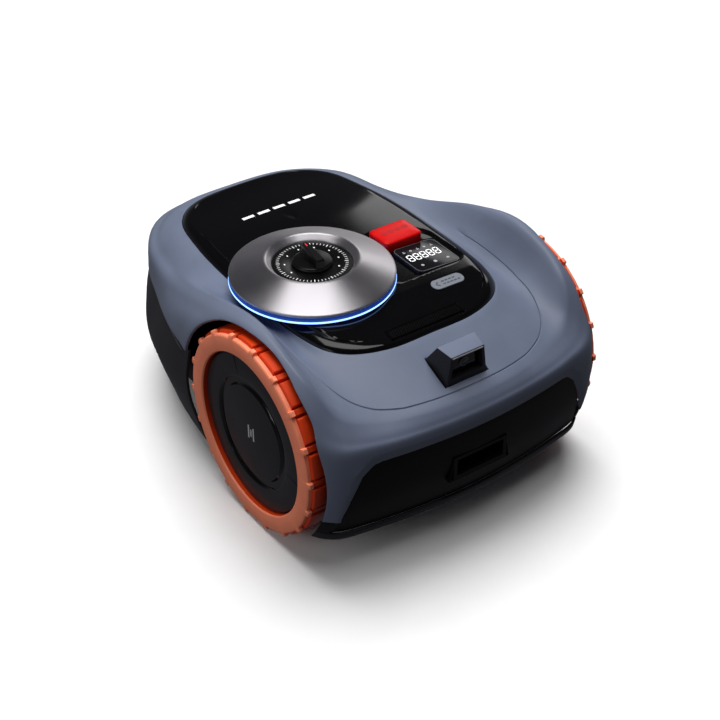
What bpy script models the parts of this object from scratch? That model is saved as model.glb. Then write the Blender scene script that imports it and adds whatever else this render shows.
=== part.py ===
"""Robotic lawn mower: body, hood, drive wheels, castors, cutting deck and height setting.

Metres, +Z up, front at -Y, origin on the ground under the middle of the machine.
"""

import math

import bmesh
import bpy
from mathutils import Matrix, Vector

# ---- driving dimensions ---------------------------------------------------------------------------
GAP = 0.0003                 # between pieces that touch
WALL = 0.003                 # moulded walls of the body
HOOD_WALL = 0.0025

WHEEL_Y, WHEEL_Z = -0.1225, 0.113
TYRE_R, TREAD_DEPTH, BEAD_R, RIM_R = 0.113, 0.0055, 0.0905, 0.0895
TYRE_IN, TYRE_OUT = 0.1575, 0.1885     # distance of the tyre's faces from the middle plane
LUGS = 18
AXLE_R = 0.008
HUB_FACE = 0.1830            # hub cap, set back inside the tyre's side ring

ARCH_Y, ARCH_Z, ARCH_R, ARCH_IN = -0.1195, 0.1105, 0.1225, 0.1612
SKIRT_TOP = 0.150            # the shell ends here behind the wheels
PANEL_BOTTOM = 0.0468        # front panel above, lip below

DIAL = Vector((-0.0555, -0.0485, 0.0))  # axis of the height knob
DISC_R, DIAL_PLATE_R = 0.0885, 0.0427
HOOD_TOP = 0.2145

STOP = Vector((0.0645, -0.0330, 0.0))
STOP_SIZE = (0.050, 0.036)
DISPLAY = Vector((0.0715, -0.0800, 0.0))
DISPLAY_SIZE = (0.058, 0.054)

CUT_Y = 0.024                # axis of the cutter
DECK_R, DECK_HOLE_R, DECK_CEILING = 0.100, 0.052, 0.088
DISC_UNDERSIDE = 0.063       # blade disc, at the highest setting
BLADE_PIVOT_R, BLADES = 0.068, 3
FLOOR = 0.040                # underside of the tray
REAR_FLOOR, REAR_STEP_Y, TRAY_TOP, TRAY_HALF = 0.062, 0.1345, 0.076, 0.1390

CASTOR_X, CASTOR_Y, CASTOR_R, TRAIL = 0.062, 0.1880, 0.026, 0.018

# Rails of the body's skin, from the front middle round the +X side to the rear middle. Every rail has a point
# at the same twelve stations: front, apron corner, wheel, waist and rear corner.
RAILS = {
    "opening": [
        (0, -.1855, .2005), (.048, -.1848, .2005), (.086, -.1735, .2010), (.1080, -.1540, .2020),
        (.1185, -.1250, .2035), (.1220, -.0850, .2045), (.1230, -.0350, .2050), (.1215, .0300, .2055),
        (.1150, .0900, .2050), (.1000, .1480, .2035), (.0620, .1840, .2000), (0, .1920, .1990)],
    "valley": [
        (0, -.2230, .1835), (.053, -.2205, .1835), (.0975, -.2085, .1840), (.1235, -.1880, .1890),
        (.1365, -.1540, .1985), (.1400, -.1000, .2070), (.1410, -.0400, .2065), (.1380, .0300, .2040),
        (.1305, .0930, .2005), (.1150, .1550, .1985), (.0690, .2000, .1930), (0, .2115, .1900)],
    "crease": [
        (0, -.2590, .1680), (.058, -.2550, .1680), (.1100, -.2405, .1695), (.1450, -.2245, .1820),
        (.1645, -.1890, .2185), (.1655, -.1200, .2400), (.1640, -.0500, .2310), (.1560, .0300, .2040),
        (.1445, .0950, .1900), (.1270, .1580, .1885), (.0750, .2130, .1800), (0, .2290, .1760)],
    "shoulder": [
        (0, -.2675, .1580), (.0615, -.2640, .1580), (.1190, -.2530, .1590), (.1590, -.2360, .1670),
        (.1790, -.1960, .2010), (.1790, -.1200, .2300), (.1790, -.0480, .2180), (.1675, .0350, .1900),
        (.1560, .1020, .1790), (.1350, .1660, .1770), (.0830, .2290, .1670), (0, .2510, .1600)],
    "belt": [
        (0, -.2720, .1450), (.0640, -.2685, .1450), (.1240, -.2590, .1455), (.1680, -.2430, .1490),
        (.1880, -.2000, .1650), (.1895, -.1200, .1950), (.1900, -.0450, .1850), (.1800, .0400, .1600),
        (.1600, .1100, .1480), (.1350, .1720, .1440), (.0860, .2420, .1350), (0, .2680, .1250)],
    "low": [
        (0, -.2715, .0900), (.0640, -.2680, .0900), (.1270, -.2590, .0900), (.1680, -.2450, .0900),
        (.1880, -.2040, .0900), (.1900, -.1200, .0900), (.1900, -.0450, .0900), (.1850, .0400, .0900),
        (.1700, .1080, .0900), (.1460, .1680, .0900), (.0900, .2425, .0900), (0, .2738, .0900)],
    "hem": [
        (0, -.2595, .0380), (.0620, -.2560, .0380), (.1215, -.2480, .0380), (.1630, -.2360, .0380),
        (.1830, -.1990, .0380), (.1850, -.1200, .0380), (.1850, -.0450, .0380), (.1740, .0350, .0380),
        (.1580, .1000, .0380), (.1380, .1640, .0380), (.0860, .2360, .0380), (0, .2640, .0380)],
}
COLUMNS = 30                 # of the skin, for half the machine
CREASE_ROUNDING = (0.10, 0.22)  # share of the apron and of the shoulder that the crease's rounding takes

SHELL_TIP = 0.0670           # the shell's corners end here, between the panel and the wheels
CAMERA_CUT = 0.2440          # front edge of the opening for the camera
# Right half of the front panel's outline seen from the front (x, z), from the top down to the shell's tip
PANEL_OUTLINE = [
    (0.1180, 0.1335), (0.1255, 0.1320), (0.1300, 0.1285), (0.1380, 0.1205), (0.1510, 0.0926), (0.1600, 0.0640)]


# ---- scene and materials --------------------------------------------------------------------------
for old in list(bpy.data.objects):
    bpy.data.objects.remove(old, do_unlink=True)

MATERIALS = {
    "shell_grey": ((0.155, 0.175, 0.225), 0.42, 0.0),
    "charcoal": ((0.035, 0.037, 0.042), 0.55, 0.0),
    "panel_black": ((0.012, 0.012, 0.013), 0.40, 0.0),
    "gloss_black": ((0.004, 0.004, 0.005), 0.08, 0.0),
    "satin_silver": ((0.62, 0.60, 0.60), 0.28, 1.0),
    "light": ((0.45, 0.65, 1.0), 0.30, 0.0),
    "orange": ((0.90, 0.16, 0.03), 0.60, 0.0),
    "stop_red": ((0.80, 0.01, 0.01), 0.45, 0.0),
    "display_black": ((0.010, 0.011, 0.013), 0.12, 0.0),
    "badge_grey": ((0.38, 0.40, 0.44), 0.40, 0.0),
    "lens_glass": ((0.02, 0.02, 0.03), 0.05, 0.0),
    "steel": ((0.60, 0.60, 0.62), 0.30, 1.0),
    "aluminium": ((0.70, 0.71, 0.73), 0.35, 1.0),
    "board_green": ((0.02, 0.16, 0.07), 0.50, 0.0),
    "battery_blue": ((0.03, 0.07, 0.20), 0.50, 0.0),
    "castor_rubber": ((0.03, 0.03, 0.03), 0.70, 0.0),
    "brass": ((0.78, 0.57, 0.25), 0.30, 1.0),
}


def material(name):
    found = bpy.data.materials.get(name)
    if found:
        return found
    colour, roughness, metallic = MATERIALS[name]
    made = bpy.data.materials.new(name)
    made.use_nodes = True
    shader = made.node_tree.nodes["Principled BSDF"]
    shader.inputs["Base Color"].default_value = (*colour, 1.0)
    shader.inputs["Roughness"].default_value = roughness
    shader.inputs["Metallic"].default_value = metallic
    return made


# ---- general shapes -------------------------------------------------------------------------------
def add(name, verts, faces, finish=None, at=(0, 0, 0), smooth_angle=35):
    """One object from vertices and faces; without a finish it is a cutter that isn't built."""
    mesh = bpy.data.meshes.new(name)
    mesh.from_pydata([tuple(v) for v in verts], [], faces)
    obj = bpy.data.objects.new(name, mesh)
    obj.location = at
    bpy.context.scene.collection.objects.link(obj)
    if finish:
        mesh.materials.append(material(finish))
        mesh.shade_smooth()
        mesh.set_sharp_from_angle(angle=math.radians(smooth_angle))
    else:
        obj.hide_render = True
        obj.display_type = "WIRE"
    return obj


def prism_data(outline, low, high, axis="z"):
    """Extrudes a counter-clockwise outline from low to high along z, along -y (front view) or along x."""
    n = len(outline)
    place = {
        "z": lambda a, b, h: (a, b, h),
        "y": lambda a, b, h: (a, -h, b),
        "x": lambda a, b, h: (h, a, b),
    }[axis]
    verts = [place(a, b, low) for a, b in outline] + [place(a, b, high) for a, b in outline]
    faces = [list(range(n))[::-1], list(range(n, 2 * n))]
    faces += [[i, (i + 1) % n, n + (i + 1) % n, n + i] for i in range(n)]
    return verts, faces


def prism(name, outline, low, high, finish=None, axis="z", at=(0, 0, 0)):
    verts, faces = prism_data(outline, low, high, axis)
    return add(name, verts, faces, finish, at)


def rectangle(cx, cy, width, depth):
    x, y = width / 2, depth / 2
    return [(cx - x, cy - y), (cx + x, cy - y), (cx + x, cy + y), (cx - x, cy + y)]


def rounded(cx, cy, width, depth, radius, steps=4):
    """Counter-clockwise rectangle with round corners."""
    points = []
    for quarter, (sx, sy) in enumerate([(1, -1), (1, 1), (-1, 1), (-1, -1)]):
        for k in range(steps + 1):
            turn = math.pi / 2 * (quarter - 1 + k / steps)
            points.append((cx + sx * (width / 2 - radius) + radius * math.cos(turn),
                           cy + sy * (depth / 2 - radius) + radius * math.sin(turn)))
    return points


def box(name, low, high, finish=None):
    outline = rectangle((low[0] + high[0]) / 2, (low[1] + high[1]) / 2, high[0] - low[0], high[1] - low[1])
    return prism(name, outline, low[2], high[2], finish)


def circle(radius, sides, cx=0.0, cy=0.0):
    return [(cx + radius * math.cos(math.tau * k / sides), cy + radius * math.sin(math.tau * k / sides))
            for k in range(sides)]


def turned(name, profile, sides, finish=None, at=(0, 0, 0), axis="z"):
    """Turns a closed profile of (radius, height) points, listed with the solid on the left going up its outer
    side. Points on the axis have radius 0."""
    rings, verts, faces = [], [], []
    for radius, height in profile:
        if radius == 0:
            rings.append([len(verts)] * sides)
            verts.append((0, 0, height))
            continue
        rings.append([len(verts) + k for k in range(sides)])
        verts += [(radius * math.cos(math.tau * k / sides), radius * math.sin(math.tau * k / sides), height)
                  for k in range(sides)]
    pairs = list(zip(rings, rings[1:] + rings[:1]))
    for low, high in pairs:
        for k in range(sides):
            corner = [low[k], low[(k + 1) % sides], high[(k + 1) % sides], high[k]]
            corner = list(dict.fromkeys(corner))
            if len(corner) > 2:
                faces.append(corner)
    if axis == "x":
        verts = [(z, x, y) for x, y, z in verts]
    elif axis == "-x":
        verts = [(-z, -x, y) for x, y, z in verts]
    return add(name, verts, faces, finish, at)


def cut(target, cutter, operation="DIFFERENCE"):
    """A Boolean that stays on the object; the cutter is left out of the build."""
    step = target.modifiers.new("cut", "BOOLEAN")
    step.object = cutter
    step.operation = operation
    step.solver = "EXACT"
    return target


def rounded_edges(obj, width, segments=2, angle=30):
    step = obj.modifiers.new("bevel", "BEVEL")
    step.width = width
    step.segments = segments
    step.limit_method = "ANGLE"
    step.angle_limit = math.radians(angle)
    return obj


# ---- the body's skin ------------------------------------------------------------------------------
def catmull(a, b, c, d, t):
    return 0.5 * (2 * b + (c - a) * t + (2 * a - 5 * b + 4 * c - d) * t * t + (3 * b - a - 3 * c + d) * t ** 3)


def rail_point(name, u):
    """Point of a rail at u from 0, front middle, to 1, rear middle. The mirrored neighbours carry the curve
    squarely across the middle plane."""
    rail = RAILS[name]
    last = len(rail) - 1
    i = min(int(u * last), last - 1)

    def knot(k):
        if k < 0:
            return Vector(rail[-k]) * Vector((-1, 1, 1))
        if k > last:
            return Vector(rail[2 * last - k]) * Vector((-1, 1, 1))
        return Vector(rail[k])

    return catmull(knot(i - 1), knot(i), knot(i + 1), knot(i + 2), u * last - i)


def section(u, apron_rows=4, crease_rows=1, side_rows=6):
    """Section of the skin at station u, from the hood's opening out over the crease and down to the hem."""
    opening, valley, crease, shoulder, belt, low, hem = [rail_point(name, u) for name in RAILS]
    apron_share, side_share = CREASE_ROUNDING

    def apron(t):
        return (1 - t) * (1 - 2 * t) * opening + 4 * t * (1 - t) * valley + t * (2 * t - 1) * crease

    knots = [2 * crease - shoulder, crease, shoulder, belt, low, hem, 2 * hem - low]

    def side(w):
        i = min(int(w), 3)
        return catmull(*knots[i:i + 4], w - i)

    rows = [apron((1 - apron_share) * k / apron_rows) for k in range(apron_rows + 1)]
    start, end = rows[-1], side(side_share)
    for k in range(1, crease_rows + 1):
        t = k / (crease_rows + 1)
        rows.append(start.lerp(crease, t).lerp(crease.lerp(end, t), t))
    span = 4 - side_share
    rows += [side(side_share + span * k / side_rows) for k in range(side_rows + 1)]
    return rows


def all_round(half):
    """Completes a list of half sections with their mirror images."""
    mirrored = [[Vector((-p.x, p.y, p.z)) for p in rows] for rows in half[-2:0:-1]]
    return half + mirrored


def sheet(sections):
    """Surface through a ring of sections: (place, outward normal) pairs, and polygons that index them."""
    columns, rows = len(sections), len(sections[0])
    points, polygons = [], []
    for i in range(columns):
        for k in range(rows):
            along = sections[(i + 1) % columns][k] - sections[i - 1][k]
            across = sections[i][min(k + 1, rows - 1)] - sections[i][max(k - 1, 0)]
            points.append((sections[i][k], across.cross(along).normalized()))
    for i in range(columns):
        j = (i + 1) % columns
        polygons += [[i * rows + k, i * rows + k + 1, j * rows + k + 1, j * rows + k] for k in range(rows - 1)]
    return points, polygons


def middle(points, polygon):
    return sum((points[k][0] for k in polygon), Vector()) / len(polygon)


def split(surface, function, where=lambda p: True):
    """Divides the polygons of a surface along the line where function is zero. Polygons whose middle isn't in
    the region where stay whole, and only take on the new corners of their neighbours."""
    points, polygons = list(surface[0]), surface[1]
    value = [function(p) for p, normal in points]
    value = [0.0 if abs(v) < 0.00005 else v for v in value]
    chosen = [where(middle(points, polygon)) for polygon in polygons]
    corners = {}
    for polygon, inside in zip(polygons, chosen):
        for a, b in zip(polygon, polygon[1:] + polygon[:1]):
            key = (min(a, b), max(a, b))
            if inside and value[a] * value[b] < 0 and key not in corners:
                share = value[key[0]] / (value[key[0]] - value[key[1]])
                corners[key] = len(points)
                points.append(tuple(points[key[0]][m].lerp(points[key[1]][m], share) for m in (0, 1)))
    value += [0.0] * (len(points) - len(value))
    result = []
    for polygon, inside in zip(polygons, chosen):
        edged = []
        for a, b in zip(polygon, polygon[1:] + polygon[:1]):
            corner = corners.get((min(a, b), max(a, b)))
            edged += [a] if corner is None else [a, corner]
        low = [k for k in edged if value[k] <= 0]
        high = [k for k in edged if value[k] >= 0]
        crossed = min(value[k] for k in edged) < 0 < max(value[k] for k in edged)
        result += [low, high] if inside and crossed else [edged]
    return points, [polygon for polygon in result if len(polygon) > 2]


def thick(surface, keep, wall, inset=0.0, caps=()):
    """Closed solid from the polygons whose middle is kept, set in from the surface and thickened inwards."""
    points, polygons = surface
    polygons = [polygon for polygon in polygons if keep(middle(points, polygon))] + list(caps)
    used = sorted({k for polygon in polygons for k in polygon})
    index = {k: n for n, k in enumerate(used)}
    verts = [points[k][0] - points[k][1] * inset for k in used]
    verts += [points[k][0] - points[k][1] * (inset + wall) for k in used]
    n = len(used)
    faces, edges = [], {}
    for polygon in polygons:
        outer = [index[k] for k in polygon]
        faces += [outer, [n + k for k in outer[::-1]]]
        for a, b in zip(outer, outer[1:] + outer[:1]):
            edges[(a, b)] = True
    faces += [[b, a, n + a, n + b] for a, b in edges if (b, a) not in edges]
    return verts, faces


# Straight stretches of the front panel's outline: they hold where run . (|x|, z) is below the limit
def panel_sides(grow=0.0):
    sides = [lambda p: p.z - PANEL_OUTLINE[0][1] - grow]
    for (x0, z0), (x1, z1) in zip(PANEL_OUTLINE, PANEL_OUTLINE[1:]):
        run = Vector((x1 - x0, z1 - z0)).normalized()
        sides.append(lambda p, x=x0, z=z0, r=run: (p.z - z) * r.x - (abs(p.x) - x) * r.y - grow)
    return sides


def in_panel(p, grow=0.0):
    if p.y > -0.15 or p.z < PANEL_BOTTOM - grow:
        return False
    return p.z < SHELL_TIP + grow or all(side(p) < 0 for side in panel_sides(grow))


def in_arch(p):
    return abs(p.x) > ARCH_IN and math.hypot(p.y - ARCH_Y, p.z - ARCH_Z) < ARCH_R


def make_body():
    surface = sheet(all_round([section(i / COLUMNS) for i in range(COLUMNS + 1)]))
    near_wheel = lambda p: abs(p.x) > 0.135 and abs(p.y - ARCH_Y) < ARCH_R + 0.02
    surface = split(surface, lambda p: abs(p.x) - ARCH_IN, lambda p: near_wheel(p) and p.z > 0.18)
    surface = split(surface, lambda p: math.hypot(p.y - ARCH_Y, p.z - ARCH_Z) - ARCH_R, near_wheel)

    behind = lambda p: p.y > -0.05
    upper = split(surface, lambda p: p.z - SKIRT_TOP, behind)
    ahead = lambda p: p.y < -0.17 and p.z < 0.155
    for side in panel_sides(GAP):
        upper = split(upper, side, lambda p: ahead(p) and p.z > 0.06)
    upper = split(upper, lambda p: p.z - SHELL_TIP - GAP, ahead)
    for wall_of_opening in (lambda p: abs(p.x) - 0.0285, lambda p: p.y + CAMERA_CUT, lambda p: p.y + 0.2065):
        upper = split(upper, wall_of_opening, lambda p: p.z > 0.145 and p.y < -0.180 and abs(p.x) < 0.06)

    def in_shell(p):
        if in_arch(p) or in_panel(p, GAP) or p.z < SHELL_TIP:
            return False
        camera = abs(p.x) < 0.0285 and -CAMERA_CUT < p.y < -0.2065
        return not camera and (p.y < ARCH_Y or p.z > SKIRT_TOP)

    add("top_shell", *thick(upper, in_shell, WALL), "shell_grey", smooth_angle=40)

    lower = split(surface, lambda p: p.z - SKIRT_TOP + GAP, behind)
    add("chassis_skirt", *thick(lower, lambda p: p.y > ARCH_Y and p.z < SKIRT_TOP - GAP and not in_arch(p),
                                WALL, 0.0015), "charcoal", smooth_angle=40)

    front = split(surface, lambda p: p.z - PANEL_BOTTOM, ahead)
    for side in panel_sides():
        front = split(front, side, lambda p: ahead(p) and p.z > 0.06)
    front = split(front, lambda p: p.z - SHELL_TIP, ahead)
    port_x, port_low, port_high = 0.0352, 0.0745, 0.1055
    for wall_of_opening in (lambda p: abs(p.x) - port_x, lambda p: p.z - port_low, lambda p: p.z - port_high):
        front = split(front, wall_of_opening, lambda p: ahead(p) and abs(p.x) < 0.08)
    port = lambda p: abs(p.x) < port_x and port_low < p.z < port_high
    add("front_panel", *thick(front, lambda p: in_panel(p) and not in_arch(p) and not port(p), WALL, 0.002),
        "panel_black", smooth_angle=40)

    under = split(surface, lambda p: p.z - PANEL_BOTTOM + GAP, ahead)
    add("front_lip", *thick(under, lambda p: p.y < -0.15 and p.z < PANEL_BOTTOM - GAP and not in_arch(p), WALL),
        "charcoal", smooth_angle=40)


# ---- hood, dial, controls -------------------------------------------------------------------------
HOOD_STEPS = [               # share of the way out from the hood's middle, rise at the sides, rise at the front
    (0.45, 0.99, 0.98), (0.75, 0.90, 0.78), (0.895, 0.78, 0.46), (0.930, 0.72, 0.36), (0.980, 0.45, 0.16),
    (0.995, 0.05, 0.05), (0.984, -0.60, -0.60)]


def hood_section(u):
    """Section of the hood: level in the middle, a stepped rim at the sides and a slope at the front."""
    edge = rail_point("opening", u)
    front = max(0.0, min(1.0, (0.42 - u) / 0.22))
    front = front * front * (3 - 2 * front)
    rows = []
    for share, at_side, at_front in HOOD_STEPS:
        rise = at_side + (at_front - at_side) * front
        rise *= HOOD_TOP - edge.z if rise > 0 else 0.006
        rows.append(Vector((edge.x * share, edge.y * share, edge.z + rise)))
    return rows


def make_hood():
    surface = sheet(all_round([hood_section(i / COLUMNS) for i in range(COLUMNS + 1)]))
    inner_ring = [i * len(HOOD_STEPS) for i in range(2 * COLUMNS)]
    hood = add("hood_cover", *thick(surface, lambda p: True, HOOD_WALL, caps=[inner_ring]), "gloss_black",
               smooth_angle=30)
    cut(hood, prism("cut_knob_shaft", circle(0.012, 24), 0.19, 0.23, at=DIAL))
    cut(hood, prism("cut_stop_well", rounded(0, 0, STOP_SIZE[0] + 0.002, STOP_SIZE[1] + 0.002, 0.008),
                    0.19, 0.23, at=STOP))
    cut(hood, prism("cut_display_seat", rounded(0, 0, DISPLAY_SIZE[0] + 2 * GAP, DISPLAY_SIZE[1] + 2 * GAP, 0.008),
                    0.19, 0.23, at=DISPLAY))
    cut(hood, prism("cut_vent", rounded(0, -0.1705, 0.092 + 2 * GAP, 0.0145 + 2 * GAP, 0.002), 0.18, 0.23))


def slab(name, outline, bottom, top, finish, at=(0, 0, 0), lean=(0, 0)):
    """A flat piece that leans: its faces rise by lean, metres per metre along x and y from its middle."""
    verts, faces = prism_data(outline, bottom, top)
    verts = [(x, y, z + lean[0] * x + lean[1] * y) for x, y, z in verts]
    return add(name, verts, faces, finish, at)


def make_dial():
    turned("dial_disc", [
        (0.0432, 0.2150), (0.0780, 0.2150), (0.0780, 0.2205), (0.0840, 0.2207), (0.0880, 0.2228),
        (0.0885, 0.2245), (0.0872, 0.2262), (0.0505, 0.2411), (0.0485, 0.2411), (0.0440, 0.2360),
        (0.0432, 0.2350)], 48, "satin_silver", DIAL)
    turned("light_ring", [
        (0.0785, 0.2154), (0.0865, 0.2150), (0.0888, 0.2164), (0.0885, 0.2185), (0.0835, 0.2200),
        (0.0785, 0.2200)], 48, "light", DIAL)
    turned("dial_plate", [
        (0.0078, 0.2318), (0.0360, 0.2318), (0.0360, 0.2148), (0.0385, 0.2148), (0.0385, 0.2318),
        (DIAL_PLATE_R, 0.2318), (DIAL_PLATE_R, 0.2345), (0.0078, 0.2345)], 32, "panel_black", DIAL)
    knob = turned("height_knob", [
        (0, 0.2135), (0.0072, 0.2135), (0.0072, 0.2348), (0.0215, 0.2348), (0.0210, 0.2375),
        (0.0190, 0.2385), (0, 0.2385)], 28, "panel_black", DIAL)
    grip = prism("knob_grip", [
        (-0.0060, -0.0215), (0.0060, -0.0215), (0.0045, 0.0175), (0.0, 0.0225), (-0.0045, 0.0175)],
        0.2365, 0.2485, at=DIAL)
    grip.rotation_euler.z = math.radians(-8)
    cut(knob, grip, "UNION")


def make_lift_screw():
    """Four-start lift cam: a square-shouldered section that turns 270 degrees over the 40 mm of travel."""
    rings, low, high, lead = 15, 0.0892, 0.2055, 0.040 / 0.75
    verts = []
    for k in range(rings):
        z = low + (high - low) * k / (rings - 1)
        for j in range(12):
            angle = math.tau * (j / 12 - z / lead)
            radius = 0.0085 if j % 3 else 0.0062
            verts.append((radius * math.cos(angle), radius * math.sin(angle), z))
    faces = [list(range(12))[::-1], [12 * (rings - 1) + j for j in range(12)]]
    for k in range(rings - 1):
        for j in range(12):
            a, b = 12 * k + j, 12 * k + (j + 1) % 12
            faces += [[a, b, b + 12], [a, b + 12, a + 12]]
    screw = add("lift_screw", verts, faces, "steel", DIAL)
    cut(screw, turned("screw_top", [(0, 0.2040), (0.0060, 0.2040), (0.0060, 0.2132), (0, 0.2132)], 16, at=DIAL),
        "UNION")


def make_controls():
    button = prism("stop_button", rounded(0, 0, *STOP_SIZE, 0.007), 0.2075, 0.2235, "stop_red", at=STOP)
    rounded_edges(button, 0.0035, 2, 60)
    box("stop_switch", (STOP.x - 0.010, STOP.y - 0.007, 0.186), (STOP.x + 0.010, STOP.y + 0.007, 0.1960),
        "panel_black")
    coil = prism("stop_spring", circle(0.0060, 14), 0.1963, 0.2072, "steel", at=STOP)
    cut(coil, prism("cut_spring_bore", circle(0.0045, 16), 0.19, 0.21, at=STOP))
    slab("display_panel", rounded(0, 0, *DISPLAY_SIZE, 0.008), 0.2065, 0.2135, "display_black", DISPLAY,
         (-0.06, 0.02))
    board = box("display_board", (DISPLAY.x - 0.025, DISPLAY.y - 0.024, 0.1995),
                (DISPLAY.x + 0.025, DISPLAY.y + 0.024, 0.2015), "board_green")
    cut(board, box("board_plug", (DISPLAY.x - 0.015, DISPLAY.y - 0.006, 0.1945),
                   (DISPLAY.x + 0.005, DISPLAY.y + 0.006, 0.2005)), "UNION")
    slab("badge_plate", rounded(0, 0, 0.041, 0.014, 0.0068, 5), 0.2130, 0.2143, "badge_grey",
         (0.0575, -0.1350, 0), (-0.03, 0.195))
    slab("vent_grille", rounded(0, 0, 0.092, 0.0145, 0.0018, 2), 0.2000, 0.2068, "panel_black",
         (0, -0.1705, 0), (0, 0.12))


def make_camera():
    """Wedge on the apron: a level roof that ends in an upright front with the window set into it."""
    front, roof_back, base_back = -0.2415, -0.2215, -0.2072
    verts, faces = [], []
    for side in (-1, 1):
        verts += [(side * 0.0276, front, 0.1600), (side * 0.0210, front, 0.2080), (side * 0.0240, roof_back, 0.2110),
                  (side * 0.0276, base_back, 0.1900), (side * 0.0276, base_back, 0.1600)]
    faces = [[0, 1, 2, 3, 4], [9, 8, 7, 6, 5]]
    faces += [[5 + k, 5 + (k + 1) % 5, (k + 1) % 5, k] for k in range(5)]
    housing = add("camera_housing", verts, faces, "charcoal")
    cut(housing, prism("cut_window_recess", [(-0.0205, 0.181), (0.0205, 0.181), (0.0175, 0.2045), (-0.0175, 0.2045)],
                       0.2340, 0.2600, axis="y"))
    cut(housing, prism("cut_lens_bore", circle(0.0085, 24, 0, 0.1925), 0.2220, 0.2600, axis="y"))
    prism("camera_window", [(-0.0200, 0.1815), (0.0200, 0.1815), (0.0172, 0.2040), (-0.0172, 0.2040)],
          0.2343, 0.2358, "lens_glass", axis="y")
    lens = prism("camera_lens", circle(0.0080, 24, 0, 0.1925), 0.2223, 0.2338, "panel_black", axis="y")
    rounded_edges(lens, 0.001, 1, 60)


def make_charge_port():
    """A tray-shaped socket behind the panel's opening, with two spring contacts in its back wall."""
    socket = prism("charge_socket", rectangle(0, 0.0905, 0.0694, 0.0284), 0.2480, 0.2690, "panel_black", axis="y")
    cut(socket, prism("cut_socket", rectangle(0, 0.0910, 0.0600, 0.0200), 0.2515, 0.2800, axis="y"))
    for side, name in ((-1, "right"), (1, "left")):
        x = side * 0.0136
        cut(socket, prism(f"cut_contact_{name}", circle(0.0028, 12, x, 0.0880), 0.24, 0.26, axis="y"))
        pin = prism(f"charge_contact_{name}", circle(0.0024, 12, x, 0.0880), 0.2440, 0.2560, "brass", axis="y")
        rounded_edges(pin, 0.0006, 1, 60)


# ---- wheels ---------------------------------------------------------------------------------------
def make_tyre(name, side):
    """Ring with square lugs: stations round the axle carry the same profile at lug or groove radius."""
    pattern = [(0.00, True), (0.62, True), (0.68, False), (0.94, False)]
    stations = [(math.tau * (lug + share) / LUGS, high) for lug in range(LUGS) for share, high in pattern]
    verts = []
    for angle, high in stations:
        top = TYRE_R if high else TYRE_R - TREAD_DEPTH
        profile = [(TYRE_IN, BEAD_R), (TYRE_OUT, BEAD_R), (TYRE_OUT, top - 0.003), (TYRE_OUT - 0.003, top),
                   (TYRE_IN + 0.006, top), (TYRE_IN, top - 0.008)]
        for x, r in profile:
            verts.append((side * x, r * math.cos(angle), r * math.sin(angle)))
    size, count = 6, len(stations)
    faces = []
    for i in range(count):
        j = (i + 1) % count
        for k in range(size):
            m = (k + 1) % size
            face = [i * size + k, i * size + m, j * size + m, j * size + k]
            faces.append(face if side > 0 else face[::-1])
    return add(name, verts, faces, "orange", (0, WHEEL_Y, WHEEL_Z))


def make_drive_wheel(side, name):
    place = (0, WHEEL_Y, WHEEL_Z)
    axis = "x" if side > 0 else "-x"
    make_tyre(f"tyre_{name}", side)
    turned(f"wheel_rim_{name}", [
        (AXLE_R + GAP, 0.1580), (0.0180, 0.1580), (0.0180, 0.1660), (0.0855, 0.1680), (0.0855, 0.1570),
        (RIM_R, 0.1570), (RIM_R, 0.1770), (0.0855, 0.1770), (0.0855, 0.1715), (AXLE_R + GAP, 0.1715)],
        32, "charcoal", place, axis)
    turned(f"hub_cap_{name}", [
        (0, 0.1773), (RIM_R, 0.1773), (RIM_R, HUB_FACE - 0.0015), (0.0885, HUB_FACE),
        (0.0620, HUB_FACE + 0.0005), (0.0605, HUB_FACE - 0.0020), (0.0535, HUB_FACE - 0.0020),
        (0.0520, HUB_FACE + 0.0007), (0, HUB_FACE + 0.0015)], 32, "charcoal", place, axis)
    turned(f"wheel_axle_{name}", [(0, 0.1433), (AXLE_R, 0.1433), (AXLE_R, 0.1768), (0, 0.1768)], 20, "steel",
           place, axis)
    motor = turned(f"drive_motor_{name}", [
        (0, 0.0420), (0.0200, 0.0420), (0.0220, 0.0440), (0.0220, 0.0850), (0.0340, 0.0860), (0.0340, 0.1385),
        (0.0150, 0.1385), (0.0150, 0.1430), (0, 0.1430)], 28, "aluminium", place, axis)
    x = sorted((side * 0.0920, side * 0.1300))
    foot = box(f"motor_foot_{name}", (x[0], WHEEL_Y - 0.018, FLOOR + 0.004 + GAP), (x[1], WHEEL_Y + 0.018, 0.095))
    cut(motor, foot, "UNION")


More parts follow.
